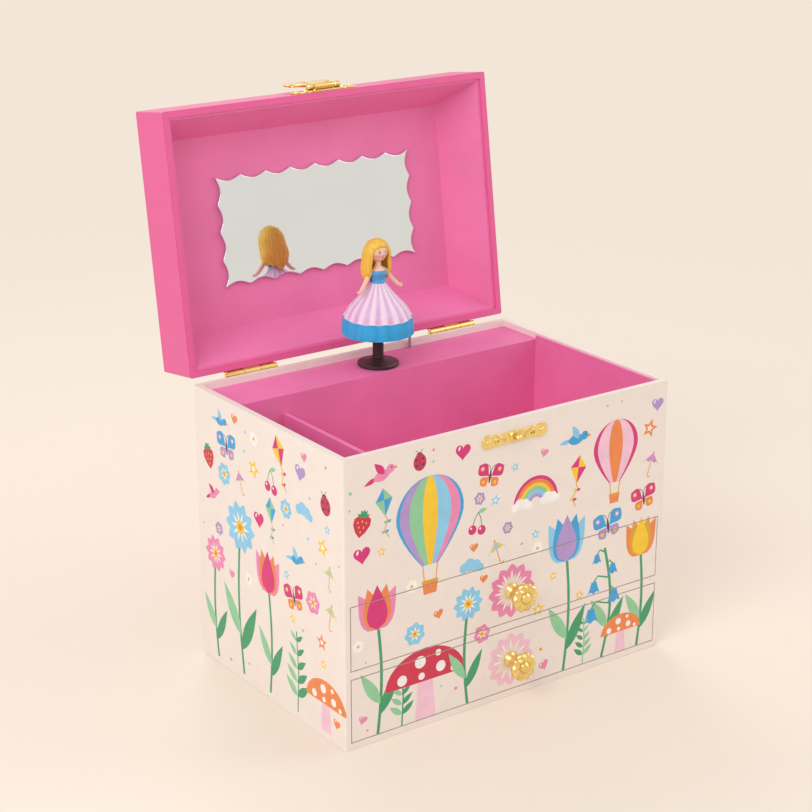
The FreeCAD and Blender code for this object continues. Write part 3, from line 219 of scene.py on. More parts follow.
class Finish:
    """One procedural material and the shorthand that wires its nodes."""

    def __init__(self, name):
        self.material = bpy.data.materials.new(name)
        self.material.use_nodes = True
        self.tree = self.material.node_tree
        self.shader = self.tree.nodes["Principled BSDF"]
        self.place = self.add("ShaderNodeTexCoord").outputs["Object"]

    def add(self, kind, inputs=None, **settings):
        node = self.tree.nodes.new(kind)
        for key, value in settings.items():
            setattr(node, key, value)
        for key, value in (inputs or {}).items():
            if isinstance(value, bpy.types.NodeSocket):
                self.tree.links.new(value, node.inputs[key])
            else:
                node.inputs[key].default_value = value
        return node

    def noise(self, scale, detail, stretch=(1.0, 1.0, 1.0)):
        """Noise in the piece's own space; scale counts features to the metre."""
        place = self.add("ShaderNodeMapping", {"Vector": self.place, "Scale": stretch}).outputs["Vector"]
        pattern = self.add("ShaderNodeTexNoise", {"Vector": place, "Scale": scale, "Detail": detail})
        return pattern.outputs["Fac"]

    def spread(self, value, low, high, start=0.3, end=0.7):
        """Value stretched from start and end to low and high."""
        inputs = {"Value": value, "From Min": start, "From Max": end, "To Min": low, "To Max": high}
        return self.add("ShaderNodeMapRange", inputs).outputs["Result"]

    def mix(self, factor, first, second):
        """Colour between two, each a plain colour or another node's."""
        first, second = [end if isinstance(end, bpy.types.NodeSocket) else (*end, 1)
                         for end in (first, second)]
        return self.add("ShaderNodeMix", {0: factor, 6: first, 7: second}, data_type="RGBA").outputs[2]

    def mottle(self, pattern, colour, dark, light):
        """Colour that a pattern takes from darker to lighter."""
        return self.mix(self.spread(pattern, 0, 1), shade(colour, dark), shade(colour, light))

    def spot(self, centre, radii, edge):
        """Soft-edged patch round a point, in millimetres: 1 inside, 0 outside."""
        shift = [-c / r for c, r in zip(centre, radii)]
        scale = [1 / (r * MM) for r in radii]
        local = self.add("ShaderNodeMapping", {"Vector": self.place, "Location": shift, "Scale": scale})
        length = self.add("ShaderNodeVectorMath", {0: local.outputs["Vector"]}, operation="LENGTH")
        return self.spread(length.outputs["Value"], 1.0, 0.0, 1.0 - edge, 1.0)

    def wire(self, colour, roughness, height=None, depth=0.0):
        """Join colour, roughness and a bump, its depth in metres, to the shader."""
        self.tree.links.new(colour, self.shader.inputs["Base Color"])
        self.tree.links.new(roughness, self.shader.inputs["Roughness"])
        if height is not None:
            bump = self.add("ShaderNodeBump", {"Height": height, "Distance": depth, "Strength": 0.6})
            self.tree.links.new(bump.outputs["Normal"], self.shader.inputs["Normal"])
        return self.material


def shade(colour, factor):
    """Darker or lighter colour."""
    return tuple(min(1.0, c * factor) for c in colour)


def made_once(recipe):
    """Let a recipe for a finish be called by name, making each named material once."""
    def find_or_make(name, *values):
        return bpy.data.materials.get(name) or recipe(Finish(name), *values)
    return find_or_make


@made_once
def paper(finish, colour, mottle=0.012):
    """Printed paper: mottled ink, fibre grain and a satin laminate."""
    cloud = finish.noise(170, 4)
    fibre = finish.noise(2600, 2)
    tone = finish.mottle(cloud, colour, 1 - 2 * mottle, 1 + mottle)
    tone = finish.mix(finish.spread(fibre, 0, 4 * mottle), tone, shade(colour, 0.84))
    return finish.wire(tone, finish.spread(fibre, 0.36, 0.52), fibre, 0.00002)


@made_once
def lining_paper(finish, colour):
    """Matt dyed paper with a fine laid texture and a softer colour where it is handled."""
    laid = finish.noise(900, 2, (1.0, 1.0, 5.0))
    grain = finish.noise(3200, 2)
    tone = finish.mottle(finish.noise(38, 3), colour, 0.92, 1.05)
    tone = finish.mix(finish.spread(laid, 0, 0.30), tone, shade(colour, 1.22))
    return finish.wire(tone, finish.spread(grain, 0.50, 0.68), laid, 0.00003)


@made_once
def metal(finish, colour, dull_and_shade, low, high, fine=500, relief=0.000015):
    """Plated metal: dull patches, painted shade in its hollows, faint streaks and a polish from low to high.
    """
    finish.shader.inputs["Metallic"].default_value = 1.0
    patch = finish.noise(fine, 4)
    streak = finish.noise(700, 3, (1.0, 6.0, 1.0))
    # Ambient occlusion darkens the hollows towards a dark copy of the dull colour: painted shade.
    hollow = finish.add("ShaderNodeAmbientOcclusion", {"Distance": 0.0015}, only_local=True).outputs["AO"]
    tone = finish.mix(finish.spread(patch, 0.0, 0.55, 0.45, 0.8), colour, dull_and_shade)
    tone = finish.mix(finish.spread(hollow, 0.9, 0.0, 0.35, 0.92), tone, shade(dull_and_shade, 0.45))
    return finish.wire(tone, finish.spread(streak, low, high), patch, relief)


@made_once
def moulding(finish, colour, low, high, grain=900):
    """Painted or moulded plastic with faint sink marks and a handling shine from low to high."""
    fine = finish.noise(grain, 3)
    tone = finish.mottle(finish.noise(160, 3), colour, 0.92, 1.05)
    return finish.wire(tone, finish.spread(fine, low, high), fine, 0.00002)


def brass():
    metals = bpy.context.scene.box_metals
    return metal("Brass_Plate", metals.brass, metals.tarnish, 0.10, 0.22, 220, 0.000004)


def steel():
    colour = bpy.context.scene.box_metals.steel
    return metal("Plain_Steel", colour, shade(colour, 0.7), 0.25, 0.42)


def cream_paper():
    return paper("Cream_Paper", bpy.context.scene.box_papers.cream)


def lining():
    return lining_paper("Lining_Paper", bpy.context.scene.box_papers.lining)


def hem_paint():
    return moulding("Gown_Hem", bpy.context.scene.box_doll.hem, 0.34, 0.5)


def ink(name):
    """Printing ink by its name in the paper settings."""
    return paper("Ink_" + name, getattr(bpy.context.scene.box_papers, name), 0.04)


def dress_nodes(material, *names):
    """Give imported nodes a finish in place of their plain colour."""
    for name in names:
        materials = frame["nodes"][name].data.materials
        materials.clear()
        materials.append(material)


def new_object(name, points, faces, materials, indices=None, sharp=40.0, placing=None):
    """Smooth mesh object in metres from points in millimetres, its edges sharp past an angle in degrees."""
    mesh = bpy.data.meshes.new(name)
    mesh.from_pydata([Vector(p) * MM for p in points], [], faces)
    if placing is not None:
        mesh.transform(placing)
    for material in materials:
        mesh.materials.append(material)
    if indices is not None:
        mesh.polygons.foreach_set("material_index", indices)
    mesh.shade_smooth()
    mesh.set_sharp_from_angle(angle=radians(sharp))
    mesh.update()
    made = bpy.data.objects.new(name, mesh)
    bpy.context.scene.collection.objects.link(made)
    return made


class Shape:
    """Points and faces gathered from several lofts, tubes and plates, with a material index each."""

    def __init__(self):
        self.points = []
        self.faces = []
        self.indices = []

    def take(self, points, faces, index=0, placing=Matrix()):
        """Add a form, placed in millimetres, with one material index or a list of them."""
        first = len(self.points)
        self.points += [placing @ Vector(p) for p in points]
        self.faces += [[first + i for i in face] for face in faces]
        self.indices += [index] * len(faces) if isinstance(index, int) else index

    def make(self, name, materials, body, slot, *replaced, sharp=40.0, placing=None, flat=False):
        """Make the piece, placed in metres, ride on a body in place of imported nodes."""
        made = new_object(name, self.points, self.faces, materials, self.indices, sharp, placing)
        if flat:
            made.modifiers.new("Flat_Faces", "WEIGHTED_NORMAL").keep_sharp = True
        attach(made, body)
        if replaced:
            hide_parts(*replaced)


def turns(count):
    """Angles evenly spaced round a full turn."""
    return [tau * i / count for i in range(count)]


def loft(rings, looped=False):
    """Skin over closed rings of equal length, capped at both ends or looped from last to first."""
    count = len(rings[0])
    points = [point for ring in rings for point in ring]
    faces = []
    for r in range(len(rings) if looped else len(rings) - 1):
        low = r * count
        high = (r + 1) % len(rings) * count
        for i in range(count):
            j = (i + 1) % count
            faces.append([low + i, low + j, high + j, high + i])
    if not looped:
        faces.append(list(range(count))[::-1])
        faces.append(list(range(len(points) - count, len(points))))
    return points, faces


def lathe(profile, steps, wave=None, looped=False):
    """Turned form about Z from (radius, height) pairs; wave(radius, height, angle) may shift each point."""
    rings = []
    for radius, height in profile:
        ring = []
        for angle in turns(steps):
            r, h = wave(radius, height, angle) if wave else (radius, height)
            ring.append((r * cos(angle), r * sin(angle), h))
        rings.append(ring)
    return loft(rings, looped)


def smooth_path(points, steps):
    """Points along a smooth curve through the given ones."""
    points = [Vector(p) for p in points]
    ends = [points[0] * 2 - points[1]] + points + [points[-1] * 2 - points[-2]]
    path = []
    for k in range(1, len(ends) - 2):
        a, b, c, d = ends[k - 1:k + 3]
        for i in range(steps):
            t = i / steps
            square = (2 * a - 5 * b + 4 * c - d) * t * t
            cube = (3 * b - a - 3 * c + d) * t ** 3
            path.append(0.5 * (2 * b + (c - a) * t + square + cube))
    return path + [points[-1]]


def smooth_outline(points, steps):
    """Smooth curve through points of a plane."""
    return [(p.x, p.y) for p in smooth_path([(x, y, 0) for x, y in points], steps)]


def mirrored(path):
    """The same path on the other side of the middle."""
    return [(-x, y) for x, y in path]


def tube(path, radii, sides=8, flat=1.0, up=(0, 0, 1)):
    """Tube along a path with one radius or a list of them, flattened across the up direction."""
    rings = []
    for k, point in enumerate(path):
        ahead = (path[min(k + 1, len(path) - 1)] - path[max(k - 1, 0)]).normalized()
        side = ahead.cross(Vector(up)).normalized()
        over = side.cross(ahead) * flat
        radius = radii[k] if isinstance(radii, list) else radii
        rings.append([point + (side * cos(a) + over * sin(a)) * radius for a in turns(sides)])
    return loft(rings)


def plate(loops, thickness, bevel):
    """Flat plate with rounded edges in XY, its back on Z = 0; loops after the first are holes."""
    curve = bpy.data.curves.new("plate", "CURVE")
    curve.dimensions = "2D"
    curve.fill_mode = "BOTH"
    curve.extrude = thickness / 2 - bevel
    curve.bevel_depth = bevel
    curve.bevel_resolution = 2
    curve.offset = -bevel
    for order, loop in enumerate(loops):
        spline = curve.splines.new("POLY")
        spline.points.add(len(loop) - 1)
        for point, (x, y) in zip(spline.points, loop if order == 0 else loop[::-1]):
            point.co = (x, y, 0, 1)
        spline.use_cyclic_u = True
    holder = bpy.data.objects.new("plate", curve)
    mesh = bpy.data.meshes.new_from_object(holder)
    work = bmesh.new()
    work.from_mesh(mesh)
    merge = 0.0005
    bmesh.ops.remove_doubles(work, verts=work.verts, dist=merge)
    bmesh.ops.dissolve_degenerate(work, dist=merge, edges=work.edges)
    bmesh.ops.recalc_face_normals(work, faces=work.faces)
    work.verts.index_update()
    points = [v.co + Vector((0, 0, thickness / 2)) for v in work.verts]
    faces = [[v.index for v in face.verts] for face in work.faces]
    work.free()
    bpy.data.objects.remove(holder)
    bpy.data.curves.remove(curve)
    bpy.data.meshes.remove(mesh)
    return points, faces


# Drawing for the printed papers: each motif is a list of (outline, ink), in millimetres, drawn in order

def placed(outline, x, y, size=1.0, turn=0.0):
    """Outline enlarged, turned and moved."""
    c, s = cos(turn) * size, sin(turn) * size
    return [(x + c * px - s * py, y + s * px + c * py) for px, py in outline]


def moved(shapes, x, y, size=1.0, turn=0.0):
    """Motif enlarged, turned and moved."""
    return [(placed(outline, x, y, size, turn), colour) for outline, colour in shapes]


def rectangle(x0, x1, y0, y1):
    return [(x0, y0), (x1, y0), (x1, y1), (x0, y1)]


def oval(x, y, rx, ry=None, steps=20):
    """Oval round a point, or a circle where only one radius is given."""
    ry = rx if ry is None else ry
    return [(x + rx * cos(a), y + ry * sin(a)) for a in turns(steps)]


def dot(x, y, radius, steps=10):
    """Small circle."""
    return oval(x, y, radius, radius, steps)


def leaf(x, y, length, width, degrees, belly=0.8):
    """Petal or leaf from its foot at x, y along a direction."""
    steps = 8
    along = [i / steps for i in range(1, steps)]
    left = [(t * length, width / 2 * sin(pi * t ** belly)) for t in along]
    right = [(px, -py) for px, py in left]
    outline = [(0.0, 0.0)] + right + [(length, 0.0)] + left[::-1]
    return placed(outline, x, y, 1.0, radians(degrees))


def strip(path, width):
    """Line of a given width along points."""
    left, right = [], []
    for k, (x, y) in enumerate(path):
        x0, y0 = path[max(k - 1, 0)]
        x1, y1 = path[min(k + 1, len(path) - 1)]
        half = width / 2 / hypot(x1 - x0, y1 - y0)
        across_x, across_y = (y0 - y1) * half, (x1 - x0) * half
        left.append((x + across_x, y + across_y))
        right.append((x - across_x, y - across_y))
    return left + right[::-1]


def half_ring(inner, outer):
    """Upper half of a ring."""
    steps = 24
    angles = [pi * i / steps for i in range(steps + 1)]
    return ([(outer * cos(a), outer * sin(a)) for a in angles]
            + [(inner * cos(a), inner * sin(a)) for a in angles[::-1]])


def heart(colour, glint="white"):
    """Heart with a glint on its left lobe."""
    steps = 28
    outline = []
    for i in range(steps):
        t = tau * (i + 0.5) / steps
        outline.append((16 * sin(t) ** 3, 13 * cos(t) - 5 * cos(2 * t) - 2 * cos(3 * t) - cos(4 * t)))
    return [(placed(outline, 0, 0, 4 / 17), colour), (leaf(-2.3, 0.4, 2.2, 0.9, 68), glint)]


def star(colour):
    """Five-pointed star with a pale middle."""
    tips = 5
    outline = []
    for i in range(2 * tips):
        reach = 0.45 if i % 2 else 1
        outline.append((sin(pi * i / tips) * reach, cos(pi * i / tips) * reach))
    return [(placed(outline, 0, 0, 4), colour), (placed(outline, 0, 0, 1.7), "white")]


def daisy(colour, petals, radius, hollow=0.0):
    """Open flower seen from above; hollow keeps its petals off the middle."""
    shapes = []
    width = tau * radius / petals * 0.82
    for i in range(petals):
        turn = 360 * i / petals
        x, y = hollow * cos(radians(turn)), hollow * sin(radians(turn))
        shapes.append((leaf(x, y, radius - hollow, width, turn, 1.35), colour))
        shapes.append((leaf(x * 1.02, y * 1.02, (radius - hollow) * 0.62, width * 0.22, turn), "white"))
    middle = "orange" if colour == "yellow" else "yellow"
    return shapes + [(oval(0, 0, radius * 0.27), middle), (dot(0, 0, radius * 0.13, 12), "orange")]


def stalk(height, bend):
    """Curved stem with two leaves, from the ground up."""
    path = [(bend * sin(pi * i / 10), height * i / 10) for i in range(11)]
    return [(strip(path, 1.3), "green"),
            (leaf(bend * 0.5, height * 0.16, height * 0.40, height * 0.10, 62), "green"),
            (leaf(bend * 0.7, height * 0.26, height * 0.36, height * 0.10, 122), "mint")]


def tulip(height, first, second, third):
    """Tall striped tulip."""
    head = height * 0.30
    shapes = stalk(height - head * 0.7, height * 0.03)
    foot = height - head * 0.95
    for turn, colour in ((62, second), (118, second), (76, third), (104, third), (90, first)):
        shapes.append((leaf(0, foot, head, head * 0.52, turn, 0.62), colour))
    return shapes


def tall_daisy(height, colour):
    return stalk(height, -height * 0.04) + moved(daisy(colour, 10, height * 0.17), 0, height)


def bells(height, colour):
    """Stem of hanging bell flowers."""
    shapes = stalk(height, height * 0.08)
    half_bell = [(0.25, 0), (0.42, -0.55), (0.62, -1.0), (0.3, -0.86)]
    bell = mirrored(half_bell[:1]) + half_bell + [(0, -1.05)] + mirrored(half_bell[:0:-1])
    for i in range(5):
        y = height * (0.48 + 0.12 * i)
        size = height * (0.13 - 0.012 * i)
        x = size if i % 2 else -size
        stem = height * 0.08 * sin(pi * y / height)
        shapes.append((strip([(stem, y), (x * 0.6, y + size * 0.4), (x, y)], 0.7), "green"))
        shapes.append((placed(bell, x, y, size), colour))
    return shapes


def toadstool(height, cap):
    """Spotted toadstool."""
    stem = [(-0.16, 0), (0.16, 0), (0.11, 0.6), (-0.11, 0.6)]
    crown = [(0.62 * cos(pi * i / 18), 0.52 + 0.46 * sin(pi * i / 18)) for i in range(19)]
    spots = ((-0.36, 0.62, 0.075), (-0.08, 0.80, 0.085), (0.24, 0.66, 0.075), (0.44, 0.58, 0.045),
             (-0.06, 0.60, 0.05), (0.2, 0.86, 0.045))
    shapes = [(stem, "blush"), (crown, cap)] + [(dot(x, y, r, 14), "white") for x, y, r in spots]
    return moved(shapes, 0, 0, height)


def balloon(radius, stripes):
    """Striped hot-air balloon with its basket; its middle is the envelope's."""
    shoulder, foot = 0.62, -1.28
    profile = []
    for i in range(1, 15):
        t = i / 14
        if t < shoulder:
            profile.append((sin(pi * t / 2 / shoulder), cos(pi * t / 2 / shoulder)))
        else:
            fall = (t - shoulder) / (1 - shoulder)
            profile.append((1 - 0.76 * fall ** 1.5, foot * fall))
    seams = [sin(pi * (k / len(stripes) - 0.5)) for k in range(len(stripes) + 1)]
    shapes = []
    for near, far, colour in zip(seams, seams[1:], stripes):
        outline = [(near * width, y) for width, y in profile]
        outline += [(far * width, y) for width, y in profile[::-1]]
        shapes.append((placed([(0, 1)] + outline, 0, 0, radius), colour))
    for s in (-1, 1):
        rope = placed([(s * 0.22, foot), (s * 0.17, foot - 0.42)], 0, 0, radius)
        shapes.append((strip(rope, 0.5), "gold"))
    basket = [(-0.24, -0.40), (0.24, -0.40), (0.19, -0.76), (-0.19, -0.76)]
    rim = strip([(-0.24, -0.44), (0.24, -0.44)], 0.09)
    return shapes + moved([(basket, "orange"), (rim, "gold")], 0, foot * radius, radius)


def butterfly(first, second):
    """Butterfly with spread wings."""
    shapes = []
    for s in (-1, 1):
        for turn, length, width, colour in ((38, 8.6, 6.6, first), (-40, 6.2, 5.0, second)):
            shapes.append((leaf(s * 0.3, 0, length, width, turn if s > 0 else 180 - turn, 1.5), colour))
        shapes.append((dot(s * 4.9, 3.6, 1.25, 14), second))
        shapes.append((dot(s * 4.9, 3.6, 0.6), "white"))
        shapes.append((dot(s * 3.3, -2.6, 0.85, 12), "yellow"))
        shapes.append((strip([(0, 2.6), (s * 0.9, 4.6), (s * 2.0, 5.6)], 0.32), "plum"))
    return shapes + [(oval(0, 0, 0.62, 3.2, 16), "plum")]


def cloud(colour):
    puffs = ((-4.5, 0, 2.4), (-1.5, 1.4, 3.2), (2.2, 0.9, 2.9), (5.0, -0.2, 2.0))
    return [(oval(x, y, r), colour) for x, y, r in puffs]


def rainbow(radius):
    """Rainbow with a white cloud at each foot."""
    shapes = []
    width = radius * 0.13
    for i, colour in enumerate(("rose", "orange", "yellow", "mint", "sky", "lilac")):
        shapes.append((half_ring(radius - width * (i + 1), radius - width * i), colour))
    for s in (-1, 1):
        shapes += moved(cloud("white"), s * radius * 0.62, 0, radius * 0.066)
    return shapes


def strawberry():
    """Strawberry with its seeds and leaves."""
    side = [(2.6, -3.6), (4.4, -0.4), (4.3, 2.2), (2.4, 3.6)]
    shapes = [([(0, -6)] + side + [(0, 3.2)] + mirrored(side[::-1]), "red")]
    for x, y in ((-2.2, 0.6), (0, 1.2), (2.2, 0.6), (-1.2, -1.4), (1.2, -1.4), (0, -3.4)):
        shapes.append((oval(x, y, 0.32, 0.5, 10), "yellow"))
    for turn in (20, 60, 90, 120, 160):
        shapes.append((leaf(0, 3.1, 3.4, 1.5, turn), "green"))
    return shapes


def cherries():
    """Two cherries on one stem."""
    shapes = [(strip([(-2.6, -1.5), (-1.2, 2.4), (0.6, 5.0)], 0.5), "green"),
              (strip([(2.8, -2.4), (2.2, 1.8), (0.6, 5.0)], 0.5), "green"),
              (leaf(0.6, 5.0, 5.0, 2.2, 12), "mint")]
    for x, y in ((-2.6, -3.2), (2.8, -4.2)):
        shapes += [(oval(x, y, 2.4), "rose"), (dot(x - 0.8, y + 0.9, 0.6), "white")]
    return shapes


def sprig(height, colour="green", second="mint"):
    """Upright stem of paired leaves."""
    shapes = [(strip([(0, 0), (height * 0.03, height * 0.5), (0, height)], 0.7), colour)]
    for i in range(5):
        y = height * (0.2 + 0.17 * i)
        size = height * (0.30 - 0.035 * i)
        shapes.append((leaf(0, y, size, size * 0.36, 38), colour))
        shapes.append((leaf(0, y, size, size * 0.36, 142), second))
    return shapes


def kite(first, second):
    """Four-panelled kite with a ribbon tail."""
    tail = [(0.9 * sin(i * 1.1), -6 - 1.3 * i) for i in range(8)]
    shapes = [(strip(tail, 0.45), "gold")]
    corner = ((0, 6), (4, 1), (0, -6), (-4, 1))
    for i, colour in enumerate((first, second, first, second)):
        shapes.append(([corner[i], corner[(i + 1) % 4], (0, 1)], colour))
    for x, y in (tail[2], tail[5]):
        shapes.append((leaf(x, y, 2.0, 1.3, 17.19), second))
        shapes.append((leaf(x, y, 2.0, 1.3, 162.81), first))
    return shapes


def parasol(first, second):
    """Open parasol in wedges, with a hooked handle."""
    shapes = [(strip([(0, 4), (0, -4.6), (0.5, -5.6), (1.4, -5.7), (1.9, -4.9)], 0.55), "gold")]
    wedges, steps = 5, 6
    for k in range(wedges):
        rim = []
        for i in range(steps + 1):
            angle = pi * (k + i / steps) / wedges
            rim.append((5.6 * cos(angle), 1.04 * sin(angle) + 0.9 * sin(pi * i / steps)))
        shapes.append(([(0, 5.6)] + rim, second if k % 2 else first))
    return shapes + [(dot(0, 5.7, 0.6), "gold")]


def ladybird():
    """Spotted ladybird from above."""
    shapes = [(oval(0, 3.2, 1.7, 1.4, 14), "plum"), (oval(0, 0, 3.4, 3.9), "red"),
              (strip([(0, 3.7), (0, -3.9)], 0.4), "plum")]
    for s in (-1, 1):
        shapes += [(dot(s * 1.7, y, 0.75, 12), "plum") for y in (1.4, -1.4)]
        shapes.append((strip([(s * 0.5, 4.2), (s * 1.2, 5.3), (s * 1.9, 5.6)], 0.3), "plum"))
    return shapes


def bird(body, wing):
    """Small bird in flight, seen from its side."""
    return [(leaf(-2.0, 0.2, 6.0, 1.9, 196), wing), (leaf(-3.6, -0.4, 9.0, 4.2, 12), body),
            (dot(4.2, 2.0, 1.75, 16), body), (leaf(5.6, 2.0, 1.7, 1.1, -4), "orange"),
            (dot(4.7, 2.4, 0.34), "plum"), (leaf(1.4, 0.8, 6.4, 3.0, 128), wing)]


def small_motifs():
    """Small motifs for the air above the plants, in the order they are dealt out."""
    return [butterfly("rose", "orange"), heart("rose"), cherries(), star("yellow"), parasol("sky", "yellow"),
            bird("blue", "sky"), daisy("sky", 7, 5), strawberry(), kite("mint", "blue"), heart("lilac"),
            ladybird(), butterfly("blue", "lilac"), star("orange"), parasol("pink", "lilac"), cloud("sky"),
            daisy("pink", 6, 5), bird("pink", "rose"), kite("yellow", "rose")]


def tiny_motifs():
    """Tiny motifs for the gaps between the others."""
    return [heart("pink"), star("yellow"), daisy("white", 6, 5), heart("orange"), star("sky"),
            daisy("lilac", 6, 5)]


def tall_motifs():
    """Plants for the sides and the back."""
    return [tulip(58, "rose", "pink", "orange"), toadstool(26, "red"), bells(50, "blue"),
            tall_daisy(44, "pink"), sprig(34), tulip(46, "yellow", "orange", "gold"), bells(40, "lilac"),
            tall_daisy(58, "sky"), toadstool(20, "orange"), tulip(64, "lilac", "sky", "blue"),
            sprig(26, "mint", "green")]


def extent(points):
    """Least and greatest x and y."""
    xs, ys = zip(*points)
    return min(xs), max(xs), min(ys), max(ys)


class Picture:
    """Motifs drawn in order on one sheet, with the room that each takes up."""

    def __init__(self):
        self.shapes = []
        self.boxes = []

    def add(self, shapes):
        self.shapes += shapes
        self.boxes += [extent(outline) for outline, _ in shapes]

    def put(self, motif, x, y, size=1.0, turn=0.0):
        self.add(moved(motif, x, y, size, turn))

    def free(self, box, margin):
        x0, x1, y0, y1 = box
        return all(x1 + margin < a or x0 - margin > b or y1 + margin < c or y0 - margin > d
                   for a, b, c, d in self.boxes)

    def fill(self, rng, area, motifs, size, margin, tries):
        """Deals motifs out in turn over the free places of an area."""
        x0, x1, y0, y1 = area
        dealt = 0
        for _ in range(tries):
            shapes = moved(motifs[dealt % len(motifs)], rng.uniform(x0, x1), rng.uniform(y0, y1),
                           size * rng.uniform(0.85, 1.1), rng.uniform(-0.35, 0.35))
            box = extent([point for outline, _ in shapes for point in outline])
            within = box[0] > x0 and box[1] < x1 and box[2] > y0 and box[3] < y1
            if within and self.free(box, margin):
                self.add(shapes)
                dealt += 1

    def sprinkle(self, rng, area, colours, tries):
        """Dots in what is still bare."""
        x0, x1, y0, y1 = area
        for _ in range(tries):
            outline = dot(rng.uniform(x0, x1), rng.uniform(y0, y1), rng.uniform(0.45, 0.8))
            if self.free(extent(outline), 2.0):
                self.add([(outline, rng.choice(colours))])

    def fill_air(self, rng, area, motifs, tries):
        """Small motifs, then tiny ones, then dots, each with its own number of tries."""
        self.fill(rng, area, motifs, 0.95, 1.3, tries[0])
        self.fill(rng, area, tiny_motifs(), 0.6, 1.4, tries[1])
        self.sprinkle(rng, area, ("gold", "pink", "sky", "mint"), tries[2])


def garden(picture, rng, start, end, deal):
    """Flowers along the foot and small motifs above them between two places round the case."""
    tall = tall_motifs()
    small = small_motifs()
    count = int((end - start) // 17)
    for i in range(count):
        x = start + (end - start) * (i + 0.5) / count
        picture.put(tall[(deal + i * 4) % len(tall)], x, 3.0, rng.uniform(0.9, 1.1))
    picture.fill_air(rng, (start, end, 5, 113), small[deal:] + small[:deal], (420, 160, 90))


def front_picture():
    """The front's own picture: two balloons over a flower bed, with a flower round each knob."""
    picture = Picture()
    ground = 3.2
    bed = ((-63, tulip(60, "rose", "pink", "orange")), (27, tulip(66, "lilac", "sky", "blue")),
           (66, tulip(56, "yellow", "orange", "gold")), (-52, sprig(24)), (-41, toadstool(30, "red")),
           (-21, tall_daisy(42, "sky")), (47, bells(48, "blue")), (37, sprig(20, "mint", "green")),
           (57, toadstool(17, "orange")))
    for x, plant in bed:
        picture.put(plant, x, ground)
    for drawer, colour in (("lower_drawer", "blush"), ("upper_drawer", "pink")):
        picture.put(daisy(colour, 12, 11.4, 4.0), 0, middle_level(drawer + "_front"))
    picture.put(balloon(15.5, ("blue", "lilac", "mint", "yellow", "sky", "pink", "blue")), -39, 86)
    picture.put(balloon(11.5, ("rose", "blush", "orange", "blush", "rose")), 51, 93)
    picture.put(rainbow(11), 11, 79)
    bare_for_clasp = (-18, 18, 102, 114)
    picture.boxes.append(bare_for_clasp)
    area = (-HALF_WIDTH + 2, HALF_WIDTH - 2, 5, BODY_HEIGHT - 2)
    picture.fill_air(random.Random(7), area, small_motifs(), (1200, 400, 170))
    return picture


def case_picture():
    """All motifs round the case, front, sides and back, in one drawing."""
    rng = random.Random(5)
    picture = front_picture()
    for start, end, deal in ((HALF_WIDTH, SIDE_END, 0), (-SIDE_END, -HALF_WIDTH, 3),
                             (SIDE_END, BACK_MIDDLE, 6), (-BACK_MIDDLE, -SIDE_END, 9)):
        garden(picture, rng, start + 3, end - 3, deal)
    return picture


def frame_line(half_x, half_y, width):
    """Thin frame as one outline, closed by a hair-thin seam."""
    outer = rectangle(-half_x, half_x, -half_y, half_y) + [(-half_x, -half_y + 0.02)]
    inner = [(x - copysign(width, x), y - copysign(width, y)) for x, y in outer]
    return outer + inner[::-1]


def lid_picture():
    """Wreath of flowers round a rainbow, with small motifs out to the corners."""
    rng = random.Random(3)
    picture = Picture()
    picture.shapes.append((frame_line(70, 44.5, 0.7), "blush"))
    blooms = 16
    wreath = oval(0, 0, 38, 30, blooms)
    for i, (x, y) in enumerate(wreath):
        for lean, colour in ((0.9, "green"), (-0.9, "mint")):
            picture.add([(placed(leaf(0, 0, 9, 3.4, 0), x, y, 1.0, tau * i / blooms + lean), colour)])
    for i, (x, y) in enumerate(wreath):
        colour = ("white", "yellow", "sky", "blush")[i % 4]
        picture.put(daisy(colour, 7, 6), x, y, rng.uniform(0.8, 1.05), rng.uniform(0, 1))
    picture.put(rainbow(19), 0, -7)
    picture.put(heart("red"), 0, -6.5, 1.1)
    for x, y, first, second in ((-57, 30, "sky", "yellow"), (57, -30, "yellow", "orange"),
                                (57, 31, "lilac", "white"), (-57, -31, "mint", "sky")):
        picture.put(butterfly(first, second), x, y, 1.25, rng.uniform(-0.5, 0.5))
    area = (-68, 68, -43, 43)
    motifs = [star("yellow"), heart("white", "blush"), daisy("sky", 7, 5), star("sky"), cloud("white"),
              heart("yellow"), star("mint"), daisy("blush", 6, 5)]
    picture.fill(rng, area, motifs, 0.8, 2.0, 400)
    picture.sprinkle(rng, area, ("white", "yellow", "blush"), 160)
    return picture


def anticlockwise(outline):
    """Outline in the order that the sheet's triangles need."""
    area = sum(x0 * y1 - x1 * y0 for (x0, y0), (x1, y1) in zip(outline, outline[1:] + outline[:1]))
    return outline if area > 0 else outline[::-1]


def inlay(outlines, folds, shapes):
    """Triangles of a sheet with its motifs let in: points, faces and the ink of each face."""
    points, edges, faces = [], [], []
    for outline in outlines + [outline for outline, _ in shapes]:
        faces.append(list(range(len(points), len(points) + len(outline))))
        points += [Vector(p) for p in anticlockwise(outline)]
    for fold in folds:
        edges.append((len(points), len(points) + 1))
        points += [Vector(p) for p in fold]
    merge = 0.0005
    found, _, triangles, _, _, drawn = delaunay_2d_cdt(points, edges, faces, 0, merge, True)
    kept, inks = [], []
    for triangle, sources in zip(triangles, drawn):
        if sources and min(sources) < len(outlines):
            top = max(sources) - len(outlines)
            kept.append(triangle)
            inks.append(shapes[top][1] if top >= 0 else None)
    used = sorted({i for triangle in kept for i in triangle})
    order = {old: new for new, old in enumerate(used)}
    return [found[i] for i in used], [[order[i] for i in triangle] for triangle in kept], inks


def printed_sheet(name, ground, outlines, folds, shapes, lie, body, slot):
    """Printed paper laid where lie(u, v) puts it."""
    flat, faces, inks = inlay(outlines, folds, shapes)
    order = [None] + sorted({colour for colour in inks if colour})
    shape = Shape()
    shape.take([lie(p.x, p.y) for p in flat], faces, [order.index(colour) for colour in inks])
    shape.make(name, [ground] + [ink(colour) for colour in order[1:]], body, slot)


